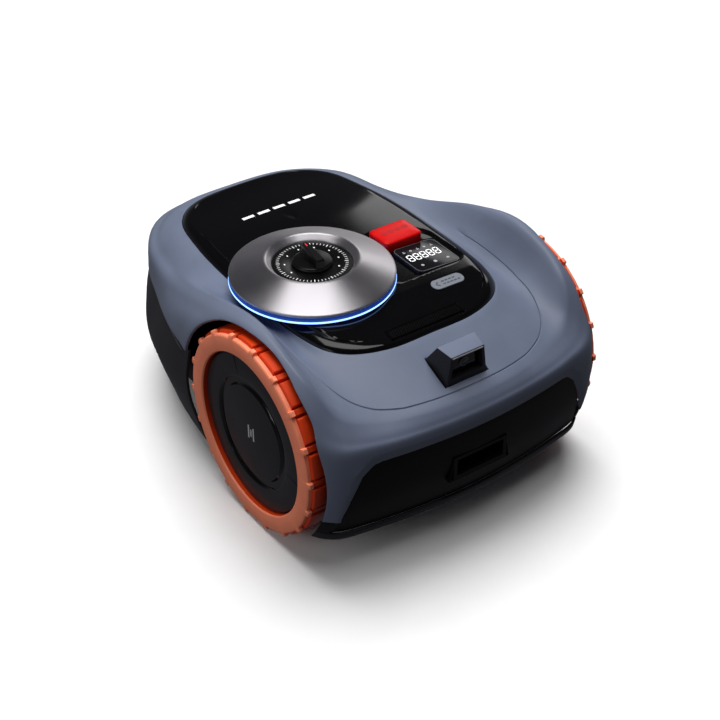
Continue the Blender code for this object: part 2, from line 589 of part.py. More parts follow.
def make_castor(side, name):
    """Swivel castor: the stem turns in the rear floor, and the wheel trails behind it."""
    x, y = side * CASTOR_X, CASTOR_Y
    fork = box(f"castor_fork_{name}", (x - 0.0135, y - 0.013, 0.0530), (x + 0.0135, y + TRAIL + 0.010, 0.0575),
               "charcoal")
    for cheek in (-1, 1):
        low, high = sorted((x + cheek * 0.0135, x + cheek * 0.0110))
        outline = [(y - 0.011, 0.0560), (y + TRAIL - 0.008, 0.0190), (y + TRAIL + 0.008, 0.0190),
                   (y + TRAIL + 0.010, 0.0560)]
        cut(fork, prism(f"fork_cheek_{name}_{cheek}", outline, low, high, axis="x"), "UNION")
    stem = turned(f"fork_stem_{name}", [
        (0, 0.0560), (0.0110, 0.0560), (0.0110, 0.0616), (0.0055, 0.0616), (0.0055, 0.0664), (0.0090, 0.0664),
        (0.0090, 0.0690), (0, 0.0690)], 16, at=(x, y, 0))
    cut(fork, stem, "UNION")
    bore = circle(0.0034, 12, y + TRAIL, CASTOR_R)
    cut(fork, prism(f"cut_fork_bore_{name}", bore, x - 0.03, x + 0.03, axis="x"))
    turned(f"castor_wheel_{name}", [
        (0.0034, -0.0100), (0.0230, -0.0100), (CASTOR_R, -0.0060), (CASTOR_R, 0.0060), (0.0230, 0.0100),
        (0.0034, 0.0100)], 28, "castor_rubber", (x, y + TRAIL, CASTOR_R), "x")
    turned(f"castor_axle_{name}", [
        (0, -0.0160), (0.0048, -0.0160), (0.0048, -0.0139), (0.0030, -0.0139), (0.0030, 0.0139), (0.0048, 0.0139),
        (0.0048, 0.0160), (0, 0.0160)], 12, "steel", (x, y + TRAIL, CASTOR_R), "x")


# ---- chassis, deck, power -------------------------------------------------------------------------
def tray_outline(inset):
    i = inset
    side = TRAY_HALF - i
    right = [(0.118 - i, -0.2350 + i), (side, -0.2150 + i), (side, 0.1400), (0.1130 - i, 0.1930 - i),
             (0.0620 - i, 0.2350 - i)]
    return right + [(-x, y) for x, y in right[::-1]]


def make_chassis():
    tub = prism("chassis_tub", tray_outline(0.0), FLOOR, TRAY_TOP, "charcoal")
    hollow = tray_outline(0.003)
    rear_wall = REAR_STEP_Y - 0.004
    front_hollow = prism("cut_tray_front", hollow, FLOOR + 0.004, 0.12)
    cut(front_hollow, box("keep_front_hollow", (-0.3, -0.3, 0.0), (0.3, rear_wall, 0.2)), "INTERSECT")
    cut(tub, front_hollow)
    rear_hollow = prism("cut_tray_rear", hollow, REAR_FLOOR + 0.004, 0.12)
    cut(rear_hollow, box("keep_rear_hollow", (-0.3, rear_wall - 0.001, 0.0), (0.3, 0.3, 0.2)), "INTERSECT")
    cut(tub, rear_hollow)
    cut(tub, box("cut_under_rear", (-0.3, REAR_STEP_Y, 0.0), (0.3, 0.3, REAR_FLOOR)))
    cut(tub, prism("cut_deck_hole", circle(DECK_R + 0.0006, 44, 0, CUT_Y), 0.0, 0.058))
    for side in (-1, 1):
        bore = circle(0.0060, 20, side * CASTOR_X, CASTOR_Y)
        cut(tub, prism(f"cut_castor_bore_{side}", bore, 0.0, 0.2))
    cut(tub, prism("cut_battery_hatch", rectangle(0, 0.1800, 0.0920, 0.0700), 0.0, 0.0640))
    prism("battery_door", rectangle(0, 0.1800, 0.0914, 0.0694), 0.0600, 0.0637, "charcoal")


def make_wheel_well(side, name):
    low, high = sorted((side * (TRAY_HALF + GAP), side * (TRAY_HALF + 0.0018)))
    plate = prism(f"wheel_well_{name}", circle(0.1170, 48, ARCH_Y, ARCH_Z), low, high, "charcoal", axis="x")
    cut(plate, box(f"keep_well_{name}", (-0.3, -0.3, 0.0450), (0.3, 0.3, 0.1800)), "INTERSECT")
    cut(plate, prism(f"cut_axle_hole_{name}", circle(0.0160, 24, WHEEL_Y, WHEEL_Z), low - 0.01, high + 0.01,
                     axis="x"))


def make_deck():
    turned("cutting_deck", [
        (DECK_HOLE_R, DECK_CEILING - 0.003), (DECK_R - 0.003, DECK_CEILING - 0.003), (DECK_R - 0.0025, FLOOR + 0.0005),
        (DECK_R, FLOOR + 0.0005), (DECK_R, 0.0583), (DECK_R, DECK_CEILING), (DECK_HOLE_R, DECK_CEILING)],
        44, "charcoal", (0, CUT_Y, 0))
    for name, (x, y) in GUIDES.items():
        prism(f"guide_rod_{name}", circle(0.0030, 16, x, y), DECK_CEILING + GAP, 0.1820, "steel")


GUIDES = {"front": (0.060, -0.006), "rear": (-0.020, 0.084)}


def beam(name, start, end, width, low, high):
    run = (end - start).normalized()
    left = Vector((-run.y, run.x)) * width / 2
    outline = [start - left, end - left, end + left, start + left]
    return prism(name, [tuple(p) for p in outline], low, high)


def make_cutter():
    centre = Vector((0, CUT_Y))
    carriage = turned("cutter_carriage", [
        (0.0068, 0.0700), (0.0485, 0.0700), (0.0485, 0.1400), (0.0455, 0.1400), (0.0455, 0.0735),
        (0.0068, 0.0735)], 30, "charcoal", (0, CUT_Y, 0))
    arms = {"nut": (Vector((DIAL.x, DIAL.y)), 0.0140, 0.0096)}
    for name, spot in GUIDES.items():
        arms[name] = (Vector(spot), 0.0080, 0.0034)
    for name, (spot, boss_r, bore_r) in arms.items():
        run = (spot - centre).normalized()
        cut(carriage, beam(f"arm_{name}", centre + run * 0.0470, spot, 0.012, 0.1325, 0.1395), "UNION")
        cut(carriage, prism(f"boss_{name}", circle(boss_r, 16, *spot), 0.1290, 0.1450), "UNION")
    for name, (spot, boss_r, bore_r) in arms.items():
        cut(carriage, prism(f"cut_bore_{name}", circle(bore_r, 16, *spot), 0.10, 0.18))
    turned("cutter_motor", [
        (0, 0.0738), (0.0300, 0.0738), (0.0310, 0.0750), (0.0310, 0.1180), (0.0280, 0.1210), (0, 0.1210)],
        28, "aluminium", (0, CUT_Y, 0))
    under = DISC_UNDERSIDE
    turned("cutter_spindle", [
        (0, under - 0.0150), (0.0100, under - 0.0150), (0.0100, under - 0.0132), (0.0050, under - 0.0130),
        (0.0050, under - 0.0090), (0.0140, under - 0.0090), (0.0140, under - GAP), (0.0060, under - GAP),
        (0.0060, under + 0.0103), (0, under + 0.0103)], 16, "steel", (0, CUT_Y, 0))
    disc = turned("blade_disc", [(0.0063, under), (0.0800, under), (0.0800, under + 0.0030), (0.0063, under + 0.0030)],
                  44, "steel", (0, CUT_Y, 0))
    for k in range(BLADES):
        angle = math.tau * k / BLADES + 1.62
        x, y = BLADE_PIVOT_R * math.cos(angle), CUT_Y + BLADE_PIVOT_R * math.sin(angle)
        cut(disc, prism(f"cut_pin_hole_{k + 1}", circle(0.0029, 16, x, y), 0.05, 0.08))
        blade = prism(f"blade_{k + 1}", rounded(0.0085, 0, 0.0330, 0.0170, 0.0030, 3), under - 0.0016,
                      under - 0.0006, "steel", at=(x, y, 0))
        blade.rotation_euler.z = angle
        cut(blade, prism(f"cut_blade_hole_{k + 1}", circle(0.0034, 16, x, y), 0.05, 0.08))
        turned(f"blade_screw_{k + 1}", [
            (0, under - 0.0040), (0.0050, under - 0.0040), (0.0055, under - 0.0020), (0.0025, under - 0.0020),
            (0.0025, under + 0.0040), (0, under + 0.0040)], 16, "steel", (x, y, 0))
    turned("skid_plate", [
        (0.0054, under - 0.0127), (0.0520, under - 0.0127), (0.0600, under - 0.0105), (0.0600, under - 0.0090),
        (0.0500, under - 0.0102), (0.0054, under - 0.0102)], 30, "charcoal", (0, CUT_Y, 0))


def make_electrics():
    box("battery_pack", (-0.0500, 0.1480, REAR_FLOOR + 0.004 + GAP), (0.0500, 0.2120, 0.1200), "battery_blue")
    board = box("main_board", (-0.0650, -0.2250, 0.1440), (0.0650, -0.1650, 0.1460), "board_green")
    for x, y, w, d, h in ((-0.030, -0.195, 0.030, 0.030, 0.008), (0.020, -0.200, 0.018, 0.018, 0.004),
                          (0.045, -0.185, 0.022, 0.012, 0.012)):
        cut(board, box(f"chip_{w}_{h}", (x - w / 2, y - d / 2, 0.1450), (x + w / 2, y + d / 2, 0.146 + h)), "UNION")
    for x in (-0.060, 0.060):
        for y in (-0.220, -0.170):
            cut(board, prism(f"post_{x}_{y}", circle(0.0035, 10, x, y), FLOOR + 0.004 + GAP, 0.1450), "UNION")


make_body()
make_hood()
make_dial()
make_lift_screw()
make_controls()
make_camera()
make_charge_port()
make_chassis()
make_deck()
make_cutter()
make_electrics()
for side, name in ((-1, "right"), (1, "left")):
    make_drive_wheel(side, name)
    make_castor(side, name)
    make_wheel_well(side, name)
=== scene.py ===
"""Looks of the robotic lawn mower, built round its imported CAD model. Metres, +Z up, front at -Y."""

import math

import bpy
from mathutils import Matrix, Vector
from mathutils.bvhtree import BVHTree


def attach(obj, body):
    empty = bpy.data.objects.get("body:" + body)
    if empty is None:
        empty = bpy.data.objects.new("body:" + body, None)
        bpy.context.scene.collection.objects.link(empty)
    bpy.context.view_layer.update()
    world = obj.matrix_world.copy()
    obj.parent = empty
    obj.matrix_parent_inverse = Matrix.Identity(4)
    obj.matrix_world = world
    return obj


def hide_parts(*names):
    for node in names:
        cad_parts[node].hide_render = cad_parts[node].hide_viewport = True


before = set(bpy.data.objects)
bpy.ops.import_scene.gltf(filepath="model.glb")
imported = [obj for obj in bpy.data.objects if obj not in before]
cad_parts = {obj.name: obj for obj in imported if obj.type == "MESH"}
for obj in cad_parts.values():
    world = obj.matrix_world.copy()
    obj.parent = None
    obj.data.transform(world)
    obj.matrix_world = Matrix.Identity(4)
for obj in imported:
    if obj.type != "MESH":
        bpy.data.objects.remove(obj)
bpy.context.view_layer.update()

# ---- dimensions shared with the CAD ---------------------------------------------------------------
WALL = 0.003
GAP = 0.0003
WHEEL_Y, WHEEL_Z = -0.1225, 0.113
TYRE_R, TREAD_DEPTH, BEAD_R = 0.113, 0.0055, 0.0905
TYRE_IN, TYRE_OUT, HUB_FACE = 0.1575, 0.1885, 0.1830
LUGS = 18
ARCH_Y, ARCH_Z, ARCH_R, ARCH_IN = -0.1195, 0.1105, 0.1225, 0.1668
SKIRT_TOP, PANEL_BOTTOM, SHELL_TIP = 0.150, 0.0468, 0.0670
PANEL_OUTLINE = [
    (0.1180, 0.1335), (0.1255, 0.1320), (0.1300, 0.1285),
    (0.1380, 0.1205), (0.1510, 0.0926), (0.1600, 0.0640)]
DIAL = Vector((-0.0555, -0.0485, 0.0))
STOP = Vector((0.0645, -0.0330, 0.0))
STOP_SIZE = (0.050, 0.036)
DISPLAY = Vector((0.0715, -0.0800, 0.0))
DISPLAY_SIZE = (0.058, 0.054)

# Rails of the body's skin, from the front middle round the +X side to the rear middle, as in the CAD
RAILS = {
    "opening": [
        (0, -.1855, .2005), (.048, -.1848, .2005), (.086, -.1735, .2010), (.1080, -.1540, .2020),
        (.1185, -.1250, .2035), (.1220, -.0850, .2045), (.1230, -.0350, .2050), (.1215, .0300, .2055),
        (.1150, .0900, .2050), (.1000, .1480, .2035), (.0620, .1840, .2000), (0, .1920, .1990)],
    "valley": [
        (0, -.2230, .1835), (.053, -.2205, .1835), (.0975, -.2085, .1840), (.1235, -.1880, .1890),
        (.1365, -.1540, .1985), (.1400, -.1000, .2070), (.1410, -.0400, .2065), (.1380, .0300, .2040),
        (.1305, .0930, .2005), (.1150, .1550, .1985), (.0690, .2000, .1930), (0, .2115, .1900)],
    "crease": [
        (0, -.2590, .1680), (.058, -.2550, .1680), (.1100, -.2405, .1695), (.1450, -.2245, .1820),
        (.1645, -.1890, .2185), (.1655, -.1200, .2400), (.1640, -.0500, .2310), (.1560, .0300, .2040),
        (.1445, .0950, .1900), (.1270, .1580, .1885), (.0750, .2130, .1800), (0, .2290, .1760)],
    "shoulder": [
        (0, -.2675, .1580), (.0615, -.2640, .1580), (.1190, -.2530, .1590), (.1590, -.2360, .1670),
        (.1790, -.1960, .2010), (.1790, -.1200, .2300), (.1790, -.0480, .2180), (.1675, .0350, .1900),
        (.1560, .1020, .1790), (.1350, .1660, .1770), (.0830, .2290, .1670), (0, .2510, .1600)],
    "belt": [
        (0, -.2720, .1450), (.0640, -.2685, .1450), (.1240, -.2590, .1455), (.1680, -.2430, .1490),
        (.1880, -.2000, .1650), (.1895, -.1200, .1950), (.1900, -.0450, .1850), (.1800, .0400, .1600),
        (.1600, .1100, .1480), (.1350, .1720, .1440), (.0860, .2420, .1350), (0, .2680, .1250)],
    "low": [
        (0, -.2715, .0900), (.0640, -.2680, .0900), (.1270, -.2590, .0900), (.1680, -.2450, .0900),
        (.1880, -.2040, .0900), (.1900, -.1200, .0900), (.1900, -.0450, .0900), (.1850, .0400, .0900),
        (.1700, .1080, .0900), (.1460, .1680, .0900), (.0900, .2425, .0900), (0, .2738, .0900)],
    "hem": [
        (0, -.2595, .0380), (.0620, -.2560, .0380), (.1215, -.2480, .0380), (.1630, -.2360, .0380),
        (.1830, -.1990, .0380), (.1850, -.1200, .0380), (.1850, -.0450, .0380), (.1740, .0350, .0380),
        (.1580, .1000, .0380), (.1380, .1640, .0380), (.0860, .2360, .0380), (0, .2640, .0380)],
}
COLUMNS = 110                # of the skin, for half the machine
CREASE_ROUNDING = (0.10, 0.22)


# ---- materials ------------------------------------------------------------------------------------
def srgb(r, g, b):
    return tuple((c / 255 / 12.92) if c <= 10 else ((c / 255 + 0.055) / 1.055) ** 2.4 for c in (r, g, b))


def finish(name, colour, roughness, grain=0.0, grain_size=0.0006, mottle=0.06, metallic=0.0, **sockets):
    """Moulded or machined finish: a little variation of tone and gloss, and a fine surface grain."""
    made = bpy.data.materials.new(name)
    made.use_nodes = True
    nodes, links = made.node_tree.nodes, made.node_tree.links
    shader = nodes["Principled BSDF"]
    shader.inputs["Metallic"].default_value = metallic
    for socket, value in sockets.items():
        shader.inputs[socket.replace("_", " ")].default_value = value
    place = nodes.new("ShaderNodeTexCoord")
    cloud = nodes.new("ShaderNodeTexNoise")
    cloud.inputs["Scale"].default_value = 22.0
    cloud.inputs["Detail"].default_value = 3.0
    links.new(place.outputs["Object"], cloud.inputs["Vector"])
    tone = nodes.new("ShaderNodeValToRGB")
    tone.color_ramp.elements[0].position = 0.30
    tone.color_ramp.elements[1].position = 0.70
    tone.color_ramp.elements[0].color = (*(c * (1 - mottle) for c in colour), 1)
    tone.color_ramp.elements[1].color = (*(min(1.0, c * (1 + mottle)) for c in colour), 1)
    links.new(cloud.outputs["Fac"], tone.inputs["Fac"])
    links.new(tone.outputs["Color"], shader.inputs["Base Color"])
    gloss = nodes.new("ShaderNodeMapRange")
    gloss.inputs["From Min"].default_value = 0.3
    gloss.inputs["From Max"].default_value = 0.7
    gloss.inputs["To Min"].default_value = roughness * 0.90
    gloss.inputs["To Max"].default_value = min(1.0, roughness * 1.10)
    links.new(cloud.outputs["Fac"], gloss.inputs["Value"])
    links.new(gloss.outputs["Result"], shader.inputs["Roughness"])
    if grain:
        speck = nodes.new("ShaderNodeTexNoise")
        speck.inputs["Scale"].default_value = 1 / grain_size
        speck.inputs["Detail"].default_value = 2.0
        links.new(place.outputs["Object"], speck.inputs["Vector"])
        bump = nodes.new("ShaderNodeBump")
        bump.inputs["Strength"].default_value = grain
        bump.inputs["Distance"].default_value = grain_size * 0.3
        links.new(speck.outputs["Fac"], bump.inputs["Height"])
        links.new(bump.outputs["Normal"], shader.inputs["Normal"])
    return made


def brushed_round(name, colour, roughness, centre):
    """Metallic finish brushed in circles round a vertical axis."""
    made = finish(name, colour, roughness, metallic=1.0, mottle=0.03, Anisotropic=0.75,
                  Anisotropic_Rotation=0.25)
    nodes, links = made.node_tree.nodes, made.node_tree.links
    shader = nodes["Principled BSDF"]
    tangent = nodes.new("ShaderNodeTangent")
    tangent.direction_type = "RADIAL"
    tangent.axis = "Z"
    links.new(tangent.outputs["Tangent"], shader.inputs["Tangent"])
    place = nodes.new("ShaderNodeTexCoord")
    offset = nodes.new("ShaderNodeVectorMath")
    offset.operation = "SUBTRACT"
    offset.inputs[1].default_value = centre
    links.new(place.outputs["Object"], offset.inputs[0])
    flat = nodes.new("ShaderNodeVectorMath")
    flat.operation = "MULTIPLY"
    flat.inputs[1].default_value = (1, 1, 0)
    links.new(offset.outputs[0], flat.inputs[0])
    radius = nodes.new("ShaderNodeVectorMath")
    radius.operation = "LENGTH"
    links.new(flat.outputs[0], radius.inputs[0])
    rings = nodes.new("ShaderNodeTexNoise")
    rings.noise_dimensions = "1D"
    rings.inputs["Scale"].default_value = 2500.0
    links.new(radius.outputs["Value"], rings.inputs["W"])
    bump = nodes.new("ShaderNodeBump")
    bump.inputs["Strength"].default_value = 0.10
    bump.inputs["Distance"].default_value = 0.0001
    links.new(rings.outputs["Fac"], bump.inputs["Height"])
    links.new(bump.outputs["Normal"], shader.inputs["Normal"])
    return made


def glowing(name, colour, strength):
    made = finish(name, colour, 0.35)
    shader = made.node_tree.nodes["Principled BSDF"]
    shader.inputs["Emission Color"].default_value = (*colour, 1)
    shader.inputs["Emission Strength"].default_value = strength
    return made


SHELL = finish("shell_plastic", srgb(99, 107, 126), 0.38, grain=0.10, Specular_IOR_Level=0.45)
CHARCOAL = finish("charcoal_plastic", srgb(34, 34, 38), 0.46, grain=0.25, grain_size=0.0008,
                  Specular_IOR_Level=0.30)
BLACK = finish("panel_plastic", srgb(11, 11, 12), 0.42, grain=0.20, grain_size=0.0008,
               Specular_IOR_Level=0.18)
GLOSS = finish("gloss_black_plastic", srgb(6, 6, 7), 0.11, mottle=0.03)
SMOKED = finish("display_glass", srgb(18, 18, 21), 0.14, mottle=0.03, Specular_IOR_Level=0.25)
SILVER = brushed_round("silver_disc_finish", srgb(232, 228, 232), 0.40, tuple(DIAL))
DIAL_BLACK = finish("dial_plastic", srgb(9, 9, 10), 0.30, grain=0.12, Specular_IOR_Level=0.3)
RING = glowing("ring_light", (0.25, 0.45, 1.0), 2.6)
RING_DARK = glowing("ring_diffuser", (0.02, 0.08, 0.45), 0.35)
TREAD = finish("tread_rubber", srgb(214, 58, 2), 0.50, grain=0.3, grain_size=0.0010)
# Paler copy of the tread's orange for the tyre's outer side ring: painted light, the key light on its outward
# face
PAINTED_LIT_SIDEWALL = finish("sidewall_rubber_painted_light", srgb(255, 144, 108), 0.50, grain=0.25, grain_size=0.0010)
HUB = finish("hub_plastic", srgb(36, 36, 40), 0.42, grain=0.2, Specular_IOR_Level=0.3)
HUB_GLOSS = finish("hub_gloss_plastic", srgb(14, 14, 15), 0.12)
RED = finish("stop_plastic", srgb(190, 5, 5), 0.30, grain=0.06, Specular_IOR_Level=0.25)
RED_DARK = finish("stop_mark_plastic", srgb(160, 8, 8), 0.45)
BADGE = finish("badge_plastic", srgb(112, 117, 126), 0.35)
# Print given a faint emission: the colour is the print's own, the glow is painted light
WHITE = glowing("white_print_painted_glow", srgb(235, 235, 235), 0.12)
PALE = glowing("pale_print_painted_glow", srgb(176, 176, 178), 0.05)
DIGIT = glowing("digit_light", (0.95, 0.97, 1.0), 0.45)
ICON = glowing("icon_light", (0.30, 0.31, 0.33), 0.10)
# The pointer's red is printed; its emission is painted light
POINTER = glowing("pointer_print_painted_glow", srgb(230, 40, 50), 0.25)
OUTLINE = finish("outline_plastic", srgb(84, 84, 88), 0.25)
# Near-white metallic strip for the camera window's top edge: painted highlight
PAINTED_HIGHLIGHT = finish("window_edge_painted_highlight", srgb(240, 240, 244), 0.12, metallic=0.6)
LENS = finish("lens_glass_finish", srgb(10, 10, 16), 0.04, Coat_Weight=1.0)
WINDOW = finish("camera_window_glass", srgb(10, 11, 12), 0.05)
STEEL = finish("turned_steel", srgb(186, 186, 190), 0.28, metallic=1.0, grain=0.1)
CAST = finish("cast_aluminium", srgb(170, 172, 176), 0.42, metallic=1.0, grain=0.3)
BOARD = finish("board_laminate", srgb(22, 92, 52), 0.40)
WRAP = finish("battery_wrap", srgb(36, 52, 104), 0.35)
CASTOR = finish("castor_rubber_finish", srgb(34, 34, 34), 0.65, grain=0.3)
BRASS = finish("contact_brass_finish", srgb(206, 164, 96), 0.25, metallic=1.0)


# ---- general shapes -------------------------------------------------------------------------------
def add(name, verts, faces, *materials, smooth_angle=32, at=(0, 0, 0), choose=None):
    mesh = bpy.data.meshes.new(name)
    mesh.from_pydata([tuple(v) for v in verts], [], faces)
    for one in materials:
        mesh.materials.append(one)
    if choose:
        for polygon in mesh.polygons:
            polygon.material_index = choose(polygon)
    mesh.shade_smooth()
    mesh.set_sharp_from_angle(angle=math.radians(smooth_angle))
    obj = bpy.data.objects.new(name, mesh)
    obj.location = at
    bpy.context.scene.collection.objects.link(obj)
    return obj


def stands_for(obj, body, slot, *nodes):
    """Declares a piece's body and the CAD nodes it replaces. The slot of its finish is not used."""
    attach(obj, body)
    for node in nodes:
        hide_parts(node)
    return obj


def prism_data(outline, low, high, axis="z"):
    """Extrudes a counter-clockwise outline from low to high along z, along -y (front view) or along x."""
    n = len(outline)
    place = {
        "z": lambda a, b, h: (a, b, h),
        "y": lambda a, b, h: (a, -h, b),
        "x": lambda a, b, h: (h, a, b),
    }[axis]
    verts = [place(a, b, low) for a, b in outline] + [place(a, b, high) for a, b in outline]
    faces = [list(range(n))[::-1], list(range(n, 2 * n))]
    faces += [[i, (i + 1) % n, n + (i + 1) % n, n + i] for i in range(n)]
    return verts, faces


def joined(parts):
    """One vertex and face list from several."""
    verts, faces = [], []
    for more, sides in parts:
        start = len(verts)
        verts += more
        faces += [[start + k for k in side] for side in sides]
    return verts, faces


def rounded(cx, cy, width, depth, radius, steps=8):
    points = []
    for quarter, (sx, sy) in enumerate([(1, -1), (1, 1), (-1, 1), (-1, -1)]):
        for k in range(steps + 1):
            turn = math.pi / 2 * (quarter - 1 + k / steps)
            points.append((cx + sx * (width / 2 - radius) + radius * math.cos(turn),
                           cy + sy * (depth / 2 - radius) + radius * math.sin(turn)))
    return points


def circle(radius, sides, cx=0.0, cy=0.0):
    return [(cx + radius * math.cos(math.tau * k / sides), cy + radius * math.sin(math.tau * k / sides))
            for k in range(sides)]


def turned_data(profile, sides, axis="z"):
    """Turns a closed profile of (radius, height) points, the solid on the left going up its outer side."""
    rings, verts, faces = [], [], []
    for radius, height in profile:
        if radius == 0:
            rings.append([len(verts)] * sides)
            verts.append((0, 0, height))
            continue
        rings.append([len(verts) + k for k in range(sides)])
        verts += [(radius * math.cos(math.tau * k / sides), radius * math.sin(math.tau * k / sides), height)
                  for k in range(sides)]
    for low, high in zip(rings, rings[1:] + rings[:1]):
        for k in range(sides):
            corner = list(dict.fromkeys([low[k], low[(k + 1) % sides], high[(k + 1) % sides], high[k]]))
            if len(corner) > 2:
                faces.append(corner)
    if axis == "x":
        verts = [(z, x, y) for x, y, z in verts]
    elif axis == "-x":
        verts = [(-z, -x, y) for x, y, z in verts]
    return verts, faces


def eased(t):
    t = max(0.0, min(1.0, t))
    return t * t * (3 - 2 * t)


# ---- the body's skin ------------------------------------------------------------------------------
def catmull(a, b, c, d, t):
    square, cube = 2 * a - 5 * b + 4 * c - d, 3 * b - a - 3 * c + d
    return 0.5 * (2 * b + (c - a) * t + square * t * t + cube * t ** 3)


def rail_point(name, u):
    rail = RAILS[name]
    last = len(rail) - 1
    i = min(int(u * last), last - 1)

    def knot(k):
        if k < 0:
            return Vector(rail[-k]) * Vector((-1, 1, 1))
        if k > last:
            return Vector(rail[2 * last - k]) * Vector((-1, 1, 1))
        return Vector(rail[k])

    return catmull(knot(i - 1), knot(i), knot(i + 1), knot(i + 2), u * last - i)


# Share of the apron at which the fine groove runs, from the front middle on
GROOVE_STATIONS = [0.925, 0.905, 0.82, 0.66, 0.52, 0.47, 0.45, 0.45]
GROOVE_END = 5.9 / 11
GROOVE_HALF, GROOVE_DEPTH = 0.0012, 0.0010
ROWS_BEFORE, ROWS_AFTER = 9, 4   # rows of a section between the opening, the groove and the crease
GROOVE_ROW = ROWS_BEFORE + 1     # row that lies at the bottom of the groove


def groove_share(u):
    place = min(u * 11, 6.999)
    i = int(place)
    return GROOVE_STATIONS[i] + (GROOVE_STATIONS[i + 1] - GROOVE_STATIONS[i]) * (place - i)


def section(u, crease_rows=6, side_rows=26):
    """Section of the skin at station u, from the hood's opening over the crease to the hem. Three of its rows
    follow the fine groove on the apron."""
    opening, valley, crease, shoulder, belt, low, hem = [rail_point(name, u) for name in RAILS]
    apron_share, side_share = CREASE_ROUNDING

    def apron(t):
        return (1 - t) * (1 - 2 * t) * opening + 4 * t * (1 - t) * valley + t * (2 * t - 1) * crease

    knots = [2 * crease - shoulder, crease, shoulder, belt, low, hem, 2 * hem - low]

    def side(w):
        i = min(int(w), 3)
        return catmull(*knots[i:i + 4], w - i)

    share = min(groove_share(u), 1 - apron_share - 0.03)
    half = GROOVE_HALF / (apron(share + 0.01) - apron(share - 0.01)).length * 0.02
    shares = [(share - half) * k / ROWS_BEFORE for k in range(ROWS_BEFORE)]
    shares += [share - half, share, share + half]
    left = 1 - apron_share - share - half
    shares += [share + half + left * k / ROWS_AFTER for k in range(1, ROWS_AFTER + 1)]
    rows = [apron(t) for t in shares]
    start, end = rows[-1], side(side_share)
    for k in range(1, crease_rows + 1):
        t = k / (crease_rows + 1)
        rows.append(start.lerp(crease, t).lerp(crease.lerp(end, t), t))
    span = 4 - side_share
    rows += [side(side_share + span * k / side_rows) for k in range(side_rows + 1)]
    return rows



def all_round(half):
    mirrored = [[Vector((-p.x, p.y, p.z)) for p in rows] for rows in half[-2:0:-1]]
    return half + mirrored


def sheet(sections):
    """Surface through a ring of sections: (place, outward normal) pairs, polygons, and the pinned points."""
    columns, rows = len(sections), len(sections[0])
    points, polygons = [], []
    for i in range(columns):
        for k in range(rows):
            along = sections[(i + 1) % columns][k] - sections[i - 1][k]
            across = sections[i][min(k + 1, rows - 1)] - sections[i][max(k - 1, 0)]
            points.append((sections[i][k], across.cross(along).normalized()))
    for i in range(columns):
        j = (i + 1) % columns
        near, far = i * rows, j * rows
        polygons += [[near + k, near + k + 1, far + k + 1, far + k] for k in range(rows - 1)]
    return points, polygons, set()


def middle(points, polygon):
    return sum((points[k][0] for k in polygon), Vector()) / len(polygon)


def split(surface, function, where=lambda p: True):
    """Divides the polygons of a surface along the line where function is zero, where their middle is in the
    region where. Free points close to the line move onto it, so that no slivers are left."""
    points, polygons, pinned = list(surface[0]), surface[1], set(surface[2])
    value = [function(p) for p, normal in points]
    chosen = [where(middle(points, polygon)) for polygon in polygons]
    crossed = {}
    for polygon, inside in zip(polygons, chosen):
        for a, b in zip(polygon, polygon[1:] + polygon[:1]):
            if inside and value[a] * value[b] < 0:
                key = (min(a, b), max(a, b))
                crossed[key] = value[key[0]] / (value[key[0]] - value[key[1]])
    for (a, b), share in sorted(crossed.items(), key=lambda item: min(item[1], 1 - item[1])):
        near, far, t = (a, b, share) if share < 0.5 else (b, a, 1 - share)
        if t < 0.22 and near not in pinned and value[near] != 0:
            points[near] = tuple(points[near][m].lerp(points[far][m], t) for m in (0, 1))
            value[near] = 0.0
            pinned.add(near)
    value = [0.0 if abs(v) < 0.00003 else v for v in value]
    corners = {}
    for a, b in crossed:
        if value[a] * value[b] < 0:
            share = value[a] / (value[a] - value[b])
            corners[(a, b)] = len(points)
            points.append(tuple(points[a][m].lerp(points[b][m], share) for m in (0, 1)))
    value += [0.0] * (len(points) - len(value))
    pinned.update(corners.values())
    pinned.update(k for k, v in enumerate(value) if v == 0.0)
    result = []
    for polygon, inside in zip(polygons, chosen):
        edged = []
        for a, b in zip(polygon, polygon[1:] + polygon[:1]):
            corner = corners.get((min(a, b), max(a, b)))
            edged += [a] if corner is None else [a, corner]
        low = [k for k in edged if value[k] <= 0]
        high = [k for k in edged if value[k] >= 0]
        both = min(value[k] for k in edged) < 0 < max(value[k] for k in edged)
        result += [low, high] if inside and both else [edged]
    return points, [polygon for polygon in result if len(polygon) > 2], pinned


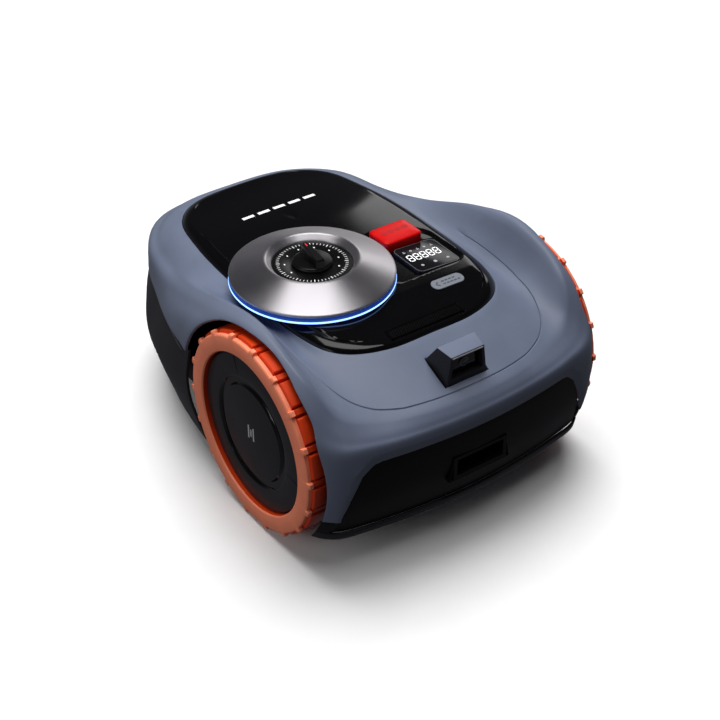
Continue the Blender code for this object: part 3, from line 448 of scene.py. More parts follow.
def thick(surface, keep, wall, relief=lambda p: 0.0, edge=0.0006, steps=3, down=None):
    """Closed solid from the polygons whose middle is kept, moved out by relief and thickened inwards. Its
    outer edges are rounded by edge."""
    points = surface[0]
    polygons = [polygon for polygon in surface[1] if keep(middle(points, polygon))]
    used = sorted({k for polygon in polygons for k in polygon})
    index = {k: n for n, k in enumerate(used)}
    place = [points[k][0] + points[k][1] * relief(points[k][0]) for k in used]
    sides = [[index[k] for k in polygon] for polygon in polygons]
    normal = [Vector() for k in used]
    for side in sides:
        across = Vector()
        for a, b, c in zip(side, side[1:], side[2:]):
            across += (place[b] - place[side[0]]).cross(place[c] - place[side[0]])
        for k in side:
            normal[k] += across
    normal = [v.normalized() for v in normal]
    edges, shortest = set(), {}
    for side in sides:
        for a, b in zip(side, side[1:] + side[:1]):
            edges.add((a, b))
            length = (place[a] - place[b]).length
            shortest[a] = min(length, shortest.get(a, 1.0))
            shortest[b] = min(length, shortest.get(b, 1.0))
    rim = [(a, b) for a, b in edges if (b, a) not in edges]
    inward = {}
    for a, b in rim:
        for k in (a, b):
            left = normal[k].cross(place[b] - place[a]).normalized()
            inward[k] = inward.get(k, Vector()) + left
    verts, faces = list(place), [list(side) for side in sides]
    rings = {}
    for k, pull in inward.items():
        pull.normalize()
        radius = min(edge, 0.4 * shortest[k])
        centre = place[k] + (pull - normal[k]) * radius
        verts[k] = place[k] + pull * radius
        rings[k] = [k]
        for step in range(1, steps + 1):
            turn = math.pi / 2 * step / steps
            rings[k].append(len(verts))
            verts.append(centre + normal[k] * radius * math.cos(turn) - pull * radius * math.sin(turn))
    start = len(verts)
    verts += [p - (down or n) * wall for p, n in zip(place, normal)]
    faces += [[start + k for k in side[::-1]] for side in sides]
    for a, b in rim:
        line_a, line_b = rings[a] + [start + a], rings[b] + [start + b]
        for step in range(len(line_a) - 1):
            faces.append([line_b[step], line_a[step], line_a[step + 1], line_b[step + 1]])
    return verts, faces


def panel_sides(grow=0.0):
    """Straight stretches of the front panel's outline, as distances in front view, negative inside."""
    sides = [lambda p: p.z - PANEL_OUTLINE[0][1] - grow]
    for (x0, z0), (x1, z1) in zip(PANEL_OUTLINE, PANEL_OUTLINE[1:]):
        run = Vector((x1 - x0, z1 - z0)).normalized()
        sides.append(lambda p, x=x0, z=z0, r=run: (p.z - z) * r.x - (abs(p.x) - x) * r.y - grow)
    return sides


SIDES = panel_sides()
CHAMFER, RECESS = 0.0105, 0.0036   # width of the band above the panel, and how far it leads in


def panel_distance(p):
    return max(side(p) for side in SIDES)


def in_panel(p, grow=0.0):
    if p.y > -0.15 or p.z < PANEL_BOTTOM - grow:
        return False
    return p.z < SHELL_TIP + grow or all(side(p) < 0 for side in panel_sides(grow))


def arch_distance(p):
    return math.hypot(p.y - ARCH_Y, p.z - ARCH_Z) - ARCH_R


def in_arch(p):
    return abs(p.x) > ARCH_IN and arch_distance(p) < 0


def front_recess(p):
    """How far the front leads in at the panel: a wide band above it, and a narrow one at its sides."""
    if p.y > -0.19 or p.z > SKIRT_TOP:
        return 0.0
    width = 0.0030 + (CHAMFER - 0.0030) * eased((p.z - 0.090) / 0.035)
    share = max(0.0, min(1.0, (width - panel_distance(p)) / width))
    below = eased((p.z - SHELL_TIP) / 0.006) if panel_distance(p) > 0 else 1.0
    return -RECESS * share * below * eased((0.176 - abs(p.x)) / 0.014)


def shell_relief(p):
    """A soft raised border round the wheel arch, and the band that leads in to the front panel."""
    border = 0.0016 * eased(1 - arch_distance(p) / 0.017) * eased((abs(p.x) - 0.150) / 0.012)
    border *= eased((p.z - 0.06) / 0.05)
    return front_recess(p) + border


def skirt_relief(p):
    return -0.0012 - 0.0034 * eased((p.z - 0.100) / 0.045) * eased((p.y + 0.03) / 0.05)


def make_skin():
    sections = all_round([section(i / COLUMNS) for i in range(COLUMNS + 1)])
    surface = sheet(sections)
    points, rows = surface[0], len(sections[0])
    for i in range(len(sections)):
        u = min(i, 2 * COLUMNS - i) / COLUMNS
        depth = GROOVE_DEPTH * eased((GROOVE_END - u) / 0.02)
        k = i * rows + GROOVE_ROW
        points[k] = (points[k][0] - points[k][1] * depth, points[k][1])
    near_wheel = lambda p: abs(p.x) > 0.135 and abs(p.y - ARCH_Y) < ARCH_R + 0.02
    surface = split(surface, lambda p: abs(p.x) - ARCH_IN, lambda p: near_wheel(p) and p.z > 0.20)
    surface = split(surface, arch_distance, near_wheel)
    behind = lambda p: p.y > -0.05 and 0.12 < p.z < 0.18
    ahead = lambda p: p.y < -0.17 and p.z < 0.16

    upper = split(surface, lambda p: p.z - SKIRT_TOP, behind)
    for side in panel_sides(GAP):
        upper = split(upper, side, lambda p: ahead(p) and p.z > 0.060)
    upper = split(upper, lambda p: panel_distance(p) - CHAMFER, lambda p: ahead(p) and p.z > 0.12)
    upper = split(upper, lambda p: p.z - SHELL_TIP - GAP, ahead)
    for wall in (lambda p: abs(p.x) - 0.0280, lambda p: p.y + 0.2422, lambda p: p.y + 0.2069):
        upper = split(upper, wall, lambda p: p.z > 0.145 and p.y < -0.180 and abs(p.x) < 0.06)

    def in_shell(p):
        if in_arch(p) or in_panel(p, GAP) or p.z < SHELL_TIP:
            return False
        camera = abs(p.x) < 0.0280 and -0.2422 < p.y < -0.2069
        return not camera and (p.y < ARCH_Y or p.z > SKIRT_TOP)

    shell = add("body_shell", *thick(upper, in_shell, WALL, shell_relief, 0.0009), SHELL)
    stands_for(shell, "chassis", "shell_grey", "top_shell")

    lower = split(surface, lambda p: p.z - SKIRT_TOP + GAP, behind)
    kept = lambda p: p.y > ARCH_Y and p.z < SKIRT_TOP - GAP and not in_arch(p)
    skirt = add("body_skirt", *thick(lower, kept, WALL, skirt_relief, 0.0008), CHARCOAL)
    stands_for(skirt, "chassis", "charcoal", "chassis_skirt")

    front = split(surface, lambda p: p.z - PANEL_BOTTOM, ahead)
    for side in panel_sides():
        front = split(front, side, lambda p: ahead(p) and p.z > 0.060)
    front = split(front, lambda p: p.z - SHELL_TIP, ahead)
    for wall in PORT_SIDES:
        front = split(front, wall, lambda p: ahead(p) and abs(p.x) < 0.08)
    kept = lambda p: in_panel(p) and not in_arch(p) and not all(wall(p) < 0 for wall in PORT_SIDES)
    relief = lambda p: min(front_recess(p), -0.0010) - 0.0004
    panel = add("front_fascia", *thick(front, kept, WALL, relief, 0.0005), BLACK)
    stands_for(panel, "chassis", "panel_black", "front_panel")

    under = split(surface, lambda p: p.z - PANEL_BOTTOM + GAP, ahead)
    kept = lambda p: p.y < -0.15 and p.z < PANEL_BOTTOM - GAP and not in_arch(p)
    lip = add("front_lower_lip", *thick(under, kept, WALL, lambda p: -0.0008, 0.0010), CHARCOAL)
    stands_for(lip, "chassis", "charcoal", "front_lip")
    return skirt


# Sides of the charging port's opening in the panel, as distances that are negative inside
PORT_SIDES = [
    lambda p: abs(p.x) - 0.0340 - 0.18 * (0.104 - p.z), lambda p: 0.0750 - p.z, lambda p: p.z - 0.1045]


def make_strip(skirt, side):
    """Fine raised strip along the top of the skirt behind the wheel."""
    mesh = skirt.data
    look = BVHTree.FromPolygons([v.co for v in mesh.vertices], [f.vertices for f in mesh.polygons])
    verts, faces, stations = [], [], 28
    for i in range(stations + 1):
        t = i / stations
        y, z = 0.016 + 0.052 * t, 0.1375 + 0.0068 * t
        half = 0.0010 * math.sin(math.pi * min(1.0, 8 * min(t, 1 - t) + 0.08) / 2)
        for up, out in ((-1, -0.0006), (-0.6, 0.0005), (0.6, 0.0005), (1, -0.0006)):
            hit = look.ray_cast(Vector((side * 0.30, y, z + up * half)), Vector((-side, 0, 0)))[0]
            verts.append(hit + Vector((side * out, 0, 0)))
    for i in range(stations):
        for k in range(4):
            m = (k + 1) % 4
            quad = [4 * i + k, 4 * i + 4 + k, 4 * i + 4 + m, 4 * i + m]
            faces.append(quad if side > 0 else quad[::-1])
    ends = [[0, 1, 2, 3], [4 * stations + k for k in (3, 2, 1, 0)]]
    faces += ends if side > 0 else [end[::-1] for end in ends]
    strip = add(f"skirt_strip_{'left' if side > 0 else 'right'}", verts, faces, OUTLINE)
    stands_for(strip, "chassis", "charcoal")


# ---- hood -----------------------------------------------------------------------------------------
# Rise of the hood over the opening's edge at distances inwards, with a step between rim and plate
RIM = [(0, -.0016), (.0004, -.0006), (.0010, .0004), (.0020, .0018), (.0035, .0032), (.0060, .0047),
       (.0090, .0059), (.0108, .0064), (.0114, .0060), (.0120, .0058), (.0126, .0066), (.0132, .0080),
       (.0142, .0092), (.0160, .0101), (.0190, .0110), (.0500, .0150)]


def rim_rise(d):
    for (d0, z0), (d1, z1) in zip(RIM, RIM[1:]):
        if d <= d1:
            return z0 + (z1 - z0) * (d - d0) / (d1 - d0)
    return RIM[-1][1]


def softmin(a, b, k):
    share = max(0.0, min(1.0, 0.5 + 0.5 * (b - a) / k))
    return b * (1 - share) + a * share - k * share * (1 - share)


WELL_HALF, WELL_Y, WELL_X = (0.050, 0.052), -0.0590, 0.0560   # shallow well of the stop button and display
WELL_DEPTH, WELL_WALL = 0.0034, 0.0042


def well_distance(p):
    """Distance in plan from the well's outline, negative inside; its rear side is arched."""
    x, y = p.x - WELL_X, p.y - WELL_Y
    half_y = WELL_HALF[1] - (9.0 * (x + 0.004) ** 2 if y > 0 else 0.0)
    a, b = abs(x) - WELL_HALF[0] + 0.014, abs(y) - half_y + 0.014
    return math.hypot(max(a, 0), max(b, 0)) + min(max(a, b), 0) - 0.014


FRONT_EDGE = -0.1255


def front_edge_distance(p):
    """Distance behind the curved front edge of the hood's level top."""
    return p.y - FRONT_EDGE - 2.2 * max(0.0, abs(p.x) - 0.085) ** 2


def hood_height(p, edge_z):
    plate = 0.2156 - 0.16 * p.x ** 2 - 0.0078 * eased((p.y - 0.040) / 0.150)
    slope = 0.2149 + 0.205 * front_edge_distance(p) - 0.2 * max(0.0, front_edge_distance(p))
    if front_edge_distance(p) > 0.02:
        slope = 1.0
    depth = WELL_DEPTH * eased(-well_distance(p) / WELL_WALL) * eased((p.y + 0.1215) / 0.010)
    top = softmin(plate - depth, slope, 0.0012)
    return softmin(top, edge_z + rim_rise(p.z), 0.0005)


def welded(surface):
    """The surface with points that share a place made one."""
    points, polygons, pinned = surface
    first, kept = {}, []
    for k, (p, normal) in enumerate(points):
        first.setdefault(tuple(round(c, 6) for c in p.xy), k)
    same = [first[tuple(round(c, 6) for c in p.xy)] for p, normal in points]
    for polygon in polygons:
        corners = list(dict.fromkeys(same[k] for k in polygon))
        if len(corners) > 2:
            kept.append(corners)
    return points, kept, pinned


def make_hood():
    depths = [d for d, rise in RIM[:-1]]
    inner_rows = 30
    edges = all_round([[rail_point("opening", i / COLUMNS)] for i in range(COLUMNS + 1)])
    count = len(edges)
    sections = []
    for i in range(count):
        edge = edges[i][0]
        along = edges[(i + 1) % count][0] - edges[i - 1][0]
        inward = Vector((-along.y, along.x, 0)).normalized()
        start = Vector((edge.x, edge.y, 0)) + inward * 0.0007
        rows = [start + inward * d + Vector((0, 0, d)) for d in depths]
        last = rows[-1]
        centre = Vector((0, max(-0.06, min(0.06, edge.y * 0.5)), 0.09))
        for k in range(1, inner_rows + 1):
            rows.append(last.lerp(centre, k / inner_rows))
        sections.append((rows[::-1], edge.z))
    size = len(sections[0][0])
    points = [(p, Vector((z, 0, 0))) for rows, z in sections for p in rows]
    polygons = []
    for i in range(count):
        near, far = i * size, (i + 1) % count * size
        polygons += [[near + k, near + k + 1, far + k + 1, far + k] for k in range(size - 1)]
    pinned = set(range(0, len(points), size))
    for i in range(count):
        pinned.update(i * size + k for k in range(inner_rows, size))
    surface = (points, polygons, pinned)
    for level in (0.0, 0.25, 0.5, 0.75, 1.0):
        surface = split(surface, lambda p: well_distance(p) + level * WELL_WALL)
    for level in (-0.0015, -0.0003, 0.0009):
        surface = split(surface, lambda p: front_edge_distance(p) - level, lambda p: p.y < -0.1)
    holes = [
        lambda p: rounded_distance(p, (0, -0.1705), (0.0927, 0.0152), 0.002),
        lambda p: rounded_distance(p, STOP, (STOP_SIZE[0] + 0.0016, STOP_SIZE[1] + 0.0016), 0.0078),
        lambda p: rounded_distance(p, DISPLAY, (DISPLAY_SIZE[0] + 0.0008, DISPLAY_SIZE[1] + 0.0008), 0.0084),
    ]
    for hole in holes:
        surface = split(surface, hole)
    surface = welded(surface)
    points = [(Vector((p.x, p.y, hood_height(p, n.x))), Vector((0, 0, 1))) for p, n in surface[0]]
    kept = [polygon for polygon in surface[1]
            if all(hole(middle(surface[0], polygon)) > 0 for hole in holes)
            and (middle(surface[0], polygon) - DIAL).xy.length > 0.012]
    solid = thick((points, kept), lambda p: True, 0.0025, edge=0.0005, down=Vector((0, 0, 1)))
    hood = add("hood", *solid, GLOSS, smooth_angle=24)
    stands_for(hood, "chassis", "gloss_black", "hood_cover")


def rounded_distance(p, centre, size, radius):
    a, b = abs(p.x - centre[0]) - size[0] / 2 + radius, abs(p.y - centre[1]) - size[1] / 2 + radius
    return math.hypot(max(a, 0), max(b, 0)) + min(max(a, b), 0) - radius


skirt = make_skin()
for side in (-1, 1):
    make_strip(skirt, side)
make_hood()


# ---- pieces on the hood ---------------------------------------------------------------------------
def loft(levels):
    """Closed solid through outlines of equal length, counter-clockwise from below up."""
    count = len(levels[0])
    verts = [p for level in levels for p in level]
    top = (len(levels) - 1) * count
    faces = [list(range(count))[::-1], list(range(top, top + count))]
    for i in range(len(levels) - 1):
        for k in range(count):
            m = (k + 1) % count
            faces.append([i * count + k, i * count + m, i * count + count + m, i * count + count + k])
    return verts, faces


def pillow(width, depth, radius, levels, lean=(0, 0), steps=8):
    """Rounded block given as (inset, height) levels."""
    stack = []
    for inset, height in levels:
        outline = rounded(0, 0, width - 2 * inset, depth - 2 * inset, max(radius - inset, 0.0004), steps)
        stack.append([(x, y, height + lean[0] * x + lean[1] * y) for x, y in outline])
    return loft(stack)


def plate_of(outline, height, thickness=0.00016):
    """Thin printed mark: an outline on the surface z = height(x, y)."""
    low = [(x, y, height(x, y) - 0.0001) for x, y in outline]
    high = [(x, y, height(x, y) + thickness) for x, y in outline]
    return loft([low, high])


def sheared(points, slant):
    return [(x + slant * y, y) for x, y in points]


def rectangle(cx, cy, width, depth):
    w, d = width / 2, depth / 2
    return [(cx - w, cy - d), (cx + w, cy - d), (cx + w, cy + d), (cx - w, cy + d)]


def bar(start, end, width):
    """Straight bar between two points, counter-clockwise."""
    start, end = Vector(start), Vector(end)
    run = (end - start).normalized()
    left = Vector((-run.y, run.x)) * width / 2
    return [tuple(start - left), tuple(end - left), tuple(end + left), tuple(start + left)]


# Half sections of the turned pieces round the dial's axis, as (radius, height)
DISC_PROFILE = [
    (0.0432, 0.2150), (0.0780, 0.2150), (0.0780, 0.2205), (0.0838, 0.2207), (0.0868, 0.2217),
    (0.0880, 0.2229), (0.0885, 0.2243), (0.0883, 0.2253), (0.0876, 0.2260), (0.0862, 0.2266),
    (0.0530, 0.2402), (0.0514, 0.2408), (0.0500, 0.2410), (0.0488, 0.2407), (0.0478, 0.2399),
    (0.0446, 0.2362), (0.0437, 0.2354), (0.0432, 0.2345)]
RING_PROFILE = [
    (0.0785, 0.2154), (0.0865, 0.2150), (0.0878, 0.2153), (0.0884, 0.2160), (0.0888, 0.2166),
    (0.0888, 0.2176), (0.0884, 0.2182), (0.0876, 0.2192), (0.0835, 0.2200), (0.0785, 0.2200)]
FACE_PROFILE = [
    (0.0078, 0.2318), (0.0360, 0.2318), (0.0360, 0.2148), (0.0385, 0.2148), (0.0385, 0.2318),
    (0.0427, 0.2318), (0.0427, 0.2341), (0.0424, 0.2344), (0.0418, 0.2345), (0.0255, 0.2345),
    (0.0250, 0.2342), (0.0245, 0.2340), (0.0078, 0.2340)]
KNOB_PROFILE = [
    (0, 0.2135), (0.0072, 0.2135), (0.0072, 0.2348), (0.0212, 0.2348), (0.0215, 0.2352),
    (0.0214, 0.2360), (0.0208, 0.2374), (0.0200, 0.2381), (0.0188, 0.2385), (0, 0.2385)]
DIAL_FACE_Z, GRIP_TOP_Z = 0.2345, 0.24836
GRIP_TURN = math.radians(-8)


def make_dial():
    disc = add("satin_disc", *turned_data(DISC_PROFILE, 160), SILVER, at=DIAL, smooth_angle=40)
    stands_for(disc, "chassis", "satin_silver", "dial_disc")
    lit = lambda polygon: 0.2160 < polygon.center.z < 0.2182 and polygon.center.xy.length > 0.086
    ring = add("ring_of_light", *turned_data(RING_PROFILE, 160), RING_DARK, RING, at=DIAL, smooth_angle=50,
               choose=lambda polygon: 1 if lit(polygon) else 0)
    stands_for(ring, "chassis", "light", "light_ring")
    plate = add("dial_face", *turned_data(FACE_PROFILE, 120), DIAL_BLACK, at=DIAL)
    stands_for(plate, "chassis", "panel_black", "dial_plate")
    face = lambda x, y: DIAL_FACE_Z
    parts = []
    for k in range(60):
        turn = math.tau * k / 60
        near = 0.0352 if k % 5 else 0.0342
        wide = 0.00055 if k % 5 else 0.0009
        line = bar((near * math.cos(turn), near * math.sin(turn)),
                   (0.0382 * math.cos(turn), 0.0382 * math.sin(turn)), wide)
        parts.append(plate_of(line, face))
    for k in range(8):
        turn = math.radians(-140 + 34 * k) + math.pi / 2
        x, y = 0.0292 * math.cos(turn), 0.0292 * math.sin(turn)
        parts.append(plate_of([(x + 0.0008 * a, y + 0.0013 * b) for a, b in circle(1, 10)], face))
    marks = add("dial_marks", *joined(parts), WHITE, at=DIAL)
    stands_for(marks, "chassis", "panel_black")
    knob = add("knob_base", *turned_data(KNOB_PROFILE, 96), DIAL_BLACK, at=DIAL)
    stands_for(knob, "knob", "panel_black", "height_knob")
    outline = [(-0.0052, -0.0200), (-0.0040, -0.0212), (0.0040, -0.0212), (0.0052, -0.0200), (0.0046, 0.0150),
               (0.0038, 0.0185), (0.0014, 0.0208), (-0.0014, 0.0208), (-0.0038, 0.0185), (-0.0046, 0.0150)]
    widths = (1.12, 0.2380), (1.04, 0.2388), (1.0, 0.2400), (0.94, 0.2465), (0.88, 0.2478), (0.78, 0.2485)
    levels = []
    for grow, height in widths:
        levels.append([(x * grow, y * (1 + (grow - 1) * 0.3), height) for x, y in outline])
    grip = add("knob_grip", *loft(levels), DIAL_BLACK, at=DIAL, smooth_angle=40)
    grip.rotation_euler.z = GRIP_TURN
    stands_for(grip, "knob", "panel_black")
    line = plate_of(rectangle(0, 0.0140, 0.0011, 0.0060), lambda x, y: GRIP_TOP_Z)
    pointer = add("knob_pointer", *line, POINTER, at=DIAL)
    pointer.rotation_euler.z = GRIP_TURN
    stands_for(pointer, "knob", "panel_black")


STOP_TOP_Z = 0.22335


def make_stop_button():
    levels = [(0.0006, 0.2075), (0, 0.2080), (0, 0.2205), (0.0002, 0.2213), (0.0008, 0.2221),
              (0.0017, 0.2227), (0.0030, 0.2230), (0.0060, 0.2233), (0.0110, 0.2235)]
    button = add("stop_key", *pillow(*STOP_SIZE, 0.0062, levels), RED, at=STOP, smooth_angle=50)
    stands_for(button, "stop", "stop_red", "stop_button")
    parts = []
    for k, x in enumerate((-0.0135, -0.0045, 0.0045, 0.0135)):
        length = 0.0078 if k % 2 else 0.0060
        outline = rounded(x, 0.0015, length, 0.0062, 0.0014, 3)
        parts.append(plate_of(outline, lambda x, y: STOP_TOP_Z, 0.00022))
    marks = add("stop_key_marks", *joined(parts), RED_DARK, at=STOP)
    stands_for(marks, "stop", "stop_red")


# Bars of a digit: level or upright, and their middles in shares of its width and height
DIGIT_BARS = [("h", 0, 1), ("h", 0, 0.5), ("h", 0, 0),
              ("v", 0, 0.75), ("v", 1, 0.75), ("v", 0, 0.25), ("v", 1, 0.25)]
DISPLAY_LEAN = (-0.06, 0.02)


def on_display(x, y):
    return 0.2135 + DISPLAY_LEAN[0] * x + DISPLAY_LEAN[1] * y


def dot_on_display(x, y, size):
    return plate_of([(x + size * a, y + size * b) for a, b in circle(1, 12)], on_display)


def make_display():
    levels = [(0.0004, 0.2066), (0, 0.2070), (0, 0.2128), (0.0003, 0.2133), (0.0009, 0.2135)]
    panel = add("display_glass", *pillow(*DISPLAY_SIZE, 0.008, levels, DISPLAY_LEAN), SMOKED, at=DISPLAY)
    stands_for(panel, "chassis", "display_black", "display_panel")
    outer = rounded(0, 0, DISPLAY_SIZE[0] - 0.0028, DISPLAY_SIZE[1] - 0.0028, 0.0068, 10)
    inner = rounded(0, 0, DISPLAY_SIZE[0] - 0.0040, DISPLAY_SIZE[1] - 0.0040, 0.0062, 10)
    count = len(outer)
    verts = [(x, y, on_display(x, y) + lift) for lift in (-0.0001, 0.00012) for x, y in outer + inner]
    faces = []
    for k in range(count):
        m = (k + 1) % count
        faces.append([2 * count + k, 2 * count + m, 3 * count + m, 3 * count + k])
        faces.append([k, m, 2 * count + m, 2 * count + k])
        faces.append([count + m, count + k, 3 * count + k, 3 * count + m])
        faces.append([m, k, count + k, count + m])
    outline = add("display_outline", verts, faces, OUTLINE, at=DISPLAY)
    stands_for(outline, "chassis", "display_black")
    parts = []
    for digit in range(5):
        left, low = -0.0222 + 0.0088 * digit, -0.0035
        for kind, u, v in DIGIT_BARS:
            x, y = left + 0.0058 * u, low + 0.0115 * v
            if kind == "h":
                line = bar((x + 0.0006, y), (x + 0.0052, y), 0.0011)
            else:
                line = bar((x, y - 0.0022), (x, y + 0.0022), 0.0011)
            parts.append(plate_of(sheared(line, 0.06), on_display))
    digits = add("display_digits", *joined(parts), DIGIT, at=DISPLAY)
    stands_for(digits, "chassis", "display_black")
    parts = []
    for k in range(5):
        x = -0.0190 + 0.0092 * k
        if k % 2:
            parts.append(dot_on_display(x, 0.0152, 0.0016))
        else:
            parts.append(plate_of(rectangle(x, 0.0143, 0.0032, 0.0014), on_display))
            parts.append(plate_of(rectangle(x, 0.0163, 0.0014, 0.0014), on_display))
    for x, size in ((-0.0160, 0.0018), (0.0010, 0.0022), (0.0180, 0.0018)):
        parts.append(dot_on_display(x, -0.0150, size))
    icons = add("display_icons", *joined(parts), ICON, at=DISPLAY)
    stands_for(icons, "chassis", "display_black")


def make_badge():
    levels = [(0.0003, 0.2130), (0, 0.2133), (0, 0.21395), (0.0003, 0.2143)]
    lean, at = (-0.03, 0.195), (0.0575, -0.1350, 0)
    badge = add("badge", *pillow(0.041, 0.014, 0.0068, levels, lean, 10), BADGE, at=at)
    stands_for(badge, "chassis", "badge_grey", "badge_plate")
    height = lambda x, y: 0.2143 + lean[0] * x + lean[1] * y
    parts = [plate_of(bar((-0.0150, 0.0), (-0.0112, 0.0032), 0.0014), height),
             plate_of(bar((-0.0150, 0.0), (-0.0112, -0.0032), 0.0014), height)]
    for row, y in enumerate((0.0022, -0.0020)):
        for k in range(4 + row):
            parts.append(plate_of(rectangle(-0.0052 + 0.0047 * k, y, 0.0034, 0.0018), height))
    marks = add("badge_marks", *joined(parts), OUTLINE, at=at)
    stands_for(marks, "chassis", "badge_grey")


def make_vents():
    lean = 0.12
    levels = [(0.0003, 0.2000), (0, 0.2003), (0, 0.2052), (0.0004, 0.2055)]
    at = (0, -0.1705, 0)
    bed = add("vent_bed", *pillow(0.092, 0.0145, 0.0018, levels, (0, lean), 4), BLACK, at=at)
    stands_for(bed, "chassis", "panel_black", "vent_grille")
    outlines = []
    for k in range(31):
        x = -0.0435 + 0.0029 * k
        outlines.append(bar((x - 0.0014, -0.0058), (x + 0.0014, 0.0058), 0.0012))
    outlines += [rectangle(0, y, 0.0915, 0.0014) for y in (-0.0064, 0.0064)]
    outlines += [rectangle(x, 0, 0.0014, 0.0135) for x in (-0.0452, 0.0452)]
    bottom, top = 0.2054, 0.2068
    parts = [loft([[(a, b, z + lean * b) for a, b in line] for z in (bottom, top)]) for line in outlines]
    bars = add("vent_bars", *joined(parts), GLOSS, at=at)
    stands_for(bars, "chassis", "panel_black")


def on_hood(x, y):
    return hood_height(Vector((x, y, 0.05)), 0.26)


def make_hood_mark():
    """A row of equal plain dashes, a generic mark."""
    count, width, pitch = 5, 0.0150, 0.0205
    middles = [pitch * (k - (count - 1) / 2) for k in range(count)]
    parts = [plate_of(rectangle(x, 0.1005, width, 0.0050), on_hood) for x in middles]
    mark = add("hood_mark", *joined(parts), WHITE)
    stands_for(mark, "chassis", "gloss_black")


# ---- camera and charging port ---------------------------------------------------------------------
def make_camera_pod():
    front, roof_back, base_back = -0.2415, -0.2215, -0.2072
    verts = []
    for side in (-1, 1):
        verts += [(side * 0.0276, front, 0.1600), (side * 0.0210, front, 0.2080),
                  (side * 0.0240, roof_back, 0.2110), (side * 0.0276, base_back, 0.1900),
                  (side * 0.0276, base_back, 0.1600)]
    faces = [[0, 1, 2, 3, 4], [9, 8, 7, 6, 5]]
    faces += [[5 + k, 5 + (k + 1) % 5, (k + 1) % 5, k] for k in range(5)]
    pod = add("camera_pod", verts, faces, CHARCOAL, SHELL, smooth_angle=30,
              choose=lambda polygon: 1 if polygon.normal.z > 0.5 else 0)
    cutters = [
        ("window_recess", prism_data([(-0.0205, 0.181), (0.0205, 0.181), (0.0175, 0.2045), (-0.0175, 0.2045)],
                                     0.2340, 0.2600, "y")),
        ("lens_bore", prism_data(circle(0.0085, 48, 0, 0.1925), 0.2220, 0.2600, "y"))]
    soften = pod.modifiers.new("soft_edges", "BEVEL")
    soften.width = 0.0012
    soften.segments = 4
    soften.limit_method = "ANGLE"
    soften.angle_limit = math.radians(20)
    for name, data in cutters:
        cutter = add("cut_" + name, *data, CHARCOAL)
        cutter.hide_render = True
        cutter.display_type = "WIRE"
        step = pod.modifiers.new(name, "BOOLEAN")
        step.operation = "DIFFERENCE"
        step.solver = "EXACT"
        step.object = cutter
    bpy.context.view_layer.update()
    evaluated = pod.evaluated_get(bpy.context.evaluated_depsgraph_get())
    baked = bpy.data.meshes.new_from_object(evaluated)
    pod.modifiers.clear()
    pod.data = baked
    baked.shade_smooth()
    baked.set_sharp_from_angle(angle=math.radians(30))
    for name, data in cutters:
        bpy.data.objects.remove(bpy.data.objects["cut_" + name])
    stands_for(pod, "chassis", "charcoal", "camera_housing")
    window = add("camera_glass", *prism_data([(-0.0200, 0.1815), (0.0200, 0.1815), (0.0172, 0.2040),
                                              (-0.0172, 0.2040)], 0.2343, 0.2350, "y"), WINDOW)
    stands_for(window, "chassis", "lens_glass", "camera_window")
    profile = [(0, 0), (0.0060, 0), (0.0060, 0.0010), (0.0056, 0.0013), (0.0048, 0.0013),
               (0.0040, 0.0009), (0.0030, 0.0014), (0.0015, 0.0018), (0, 0.0019)]
    lens = add("camera_eye", *turned_data(profile, 64), LENS, at=(0, -0.2348, 0.1925), smooth_angle=40)
    lens.rotation_euler.x = math.radians(90)
    stands_for(lens, "chassis", "panel_black", "camera_lens")
    # Thin bright strip along the window's top edge: a painted highlight where the edge catches light
    outline = rounded(0, 0.2062, 0.0392, 0.0013, 0.0005, 3)
    brow = add("camera_brow_painted_highlight", *prism_data(outline, 0.2414, 0.24185, "y"), PAINTED_HIGHLIGHT)
    stands_for(brow, "chassis", "charcoal")


def make_port():
    """Frame round the charging recess: a ledge below it that widens downwards, and a fine lit edge."""
    outline = [(-0.0395, 0.0752), (0.0395, 0.0752), (0.0346, 0.1044), (-0.0346, 0.1044)]
    inner = [(-0.0300, 0.0812), (0.0300, 0.0812), (0.0300, 0.1008), (-0.0300, 0.1008)]
    rings = [(outline, 0.2620), (outline, 0.2685), ([(x * 0.975, z + (0.0006 if z < 0.09 else -0.0006))
                                                     for x, z in outline], 0.2690),
             (inner, 0.2600), (inner, 0.2530)]
    verts, faces = [], []
    for ring, depth in rings:
        verts += [(x, -depth, z) for x, z in ring]
    for level in range(len(rings) - 1):
        for k in range(4):
            m = (k + 1) % 4
            faces.append([4 * level + k, 4 * level + m, 4 * level + 4 + m, 4 * level + 4 + k])
    back = len(verts)
    verts += [(x, -0.2500, z) for x, z in inner]
    verts += [(x, -0.2500, z) for x, z in outline]
    for k in range(4):
        m = (k + 1) % 4
        faces.append([back - 4 + k, back - 4 + m, back + m, back + k])
        faces.append([back + k, back + m, back + 4 + m, back + 4 + k])
        faces.append([back + 4 + k, back + 4 + m, m, k])
    bezel = add("port_bezel", verts, faces, BLACK, smooth_angle=20)
    stands_for(bezel, "chassis", "panel_black")


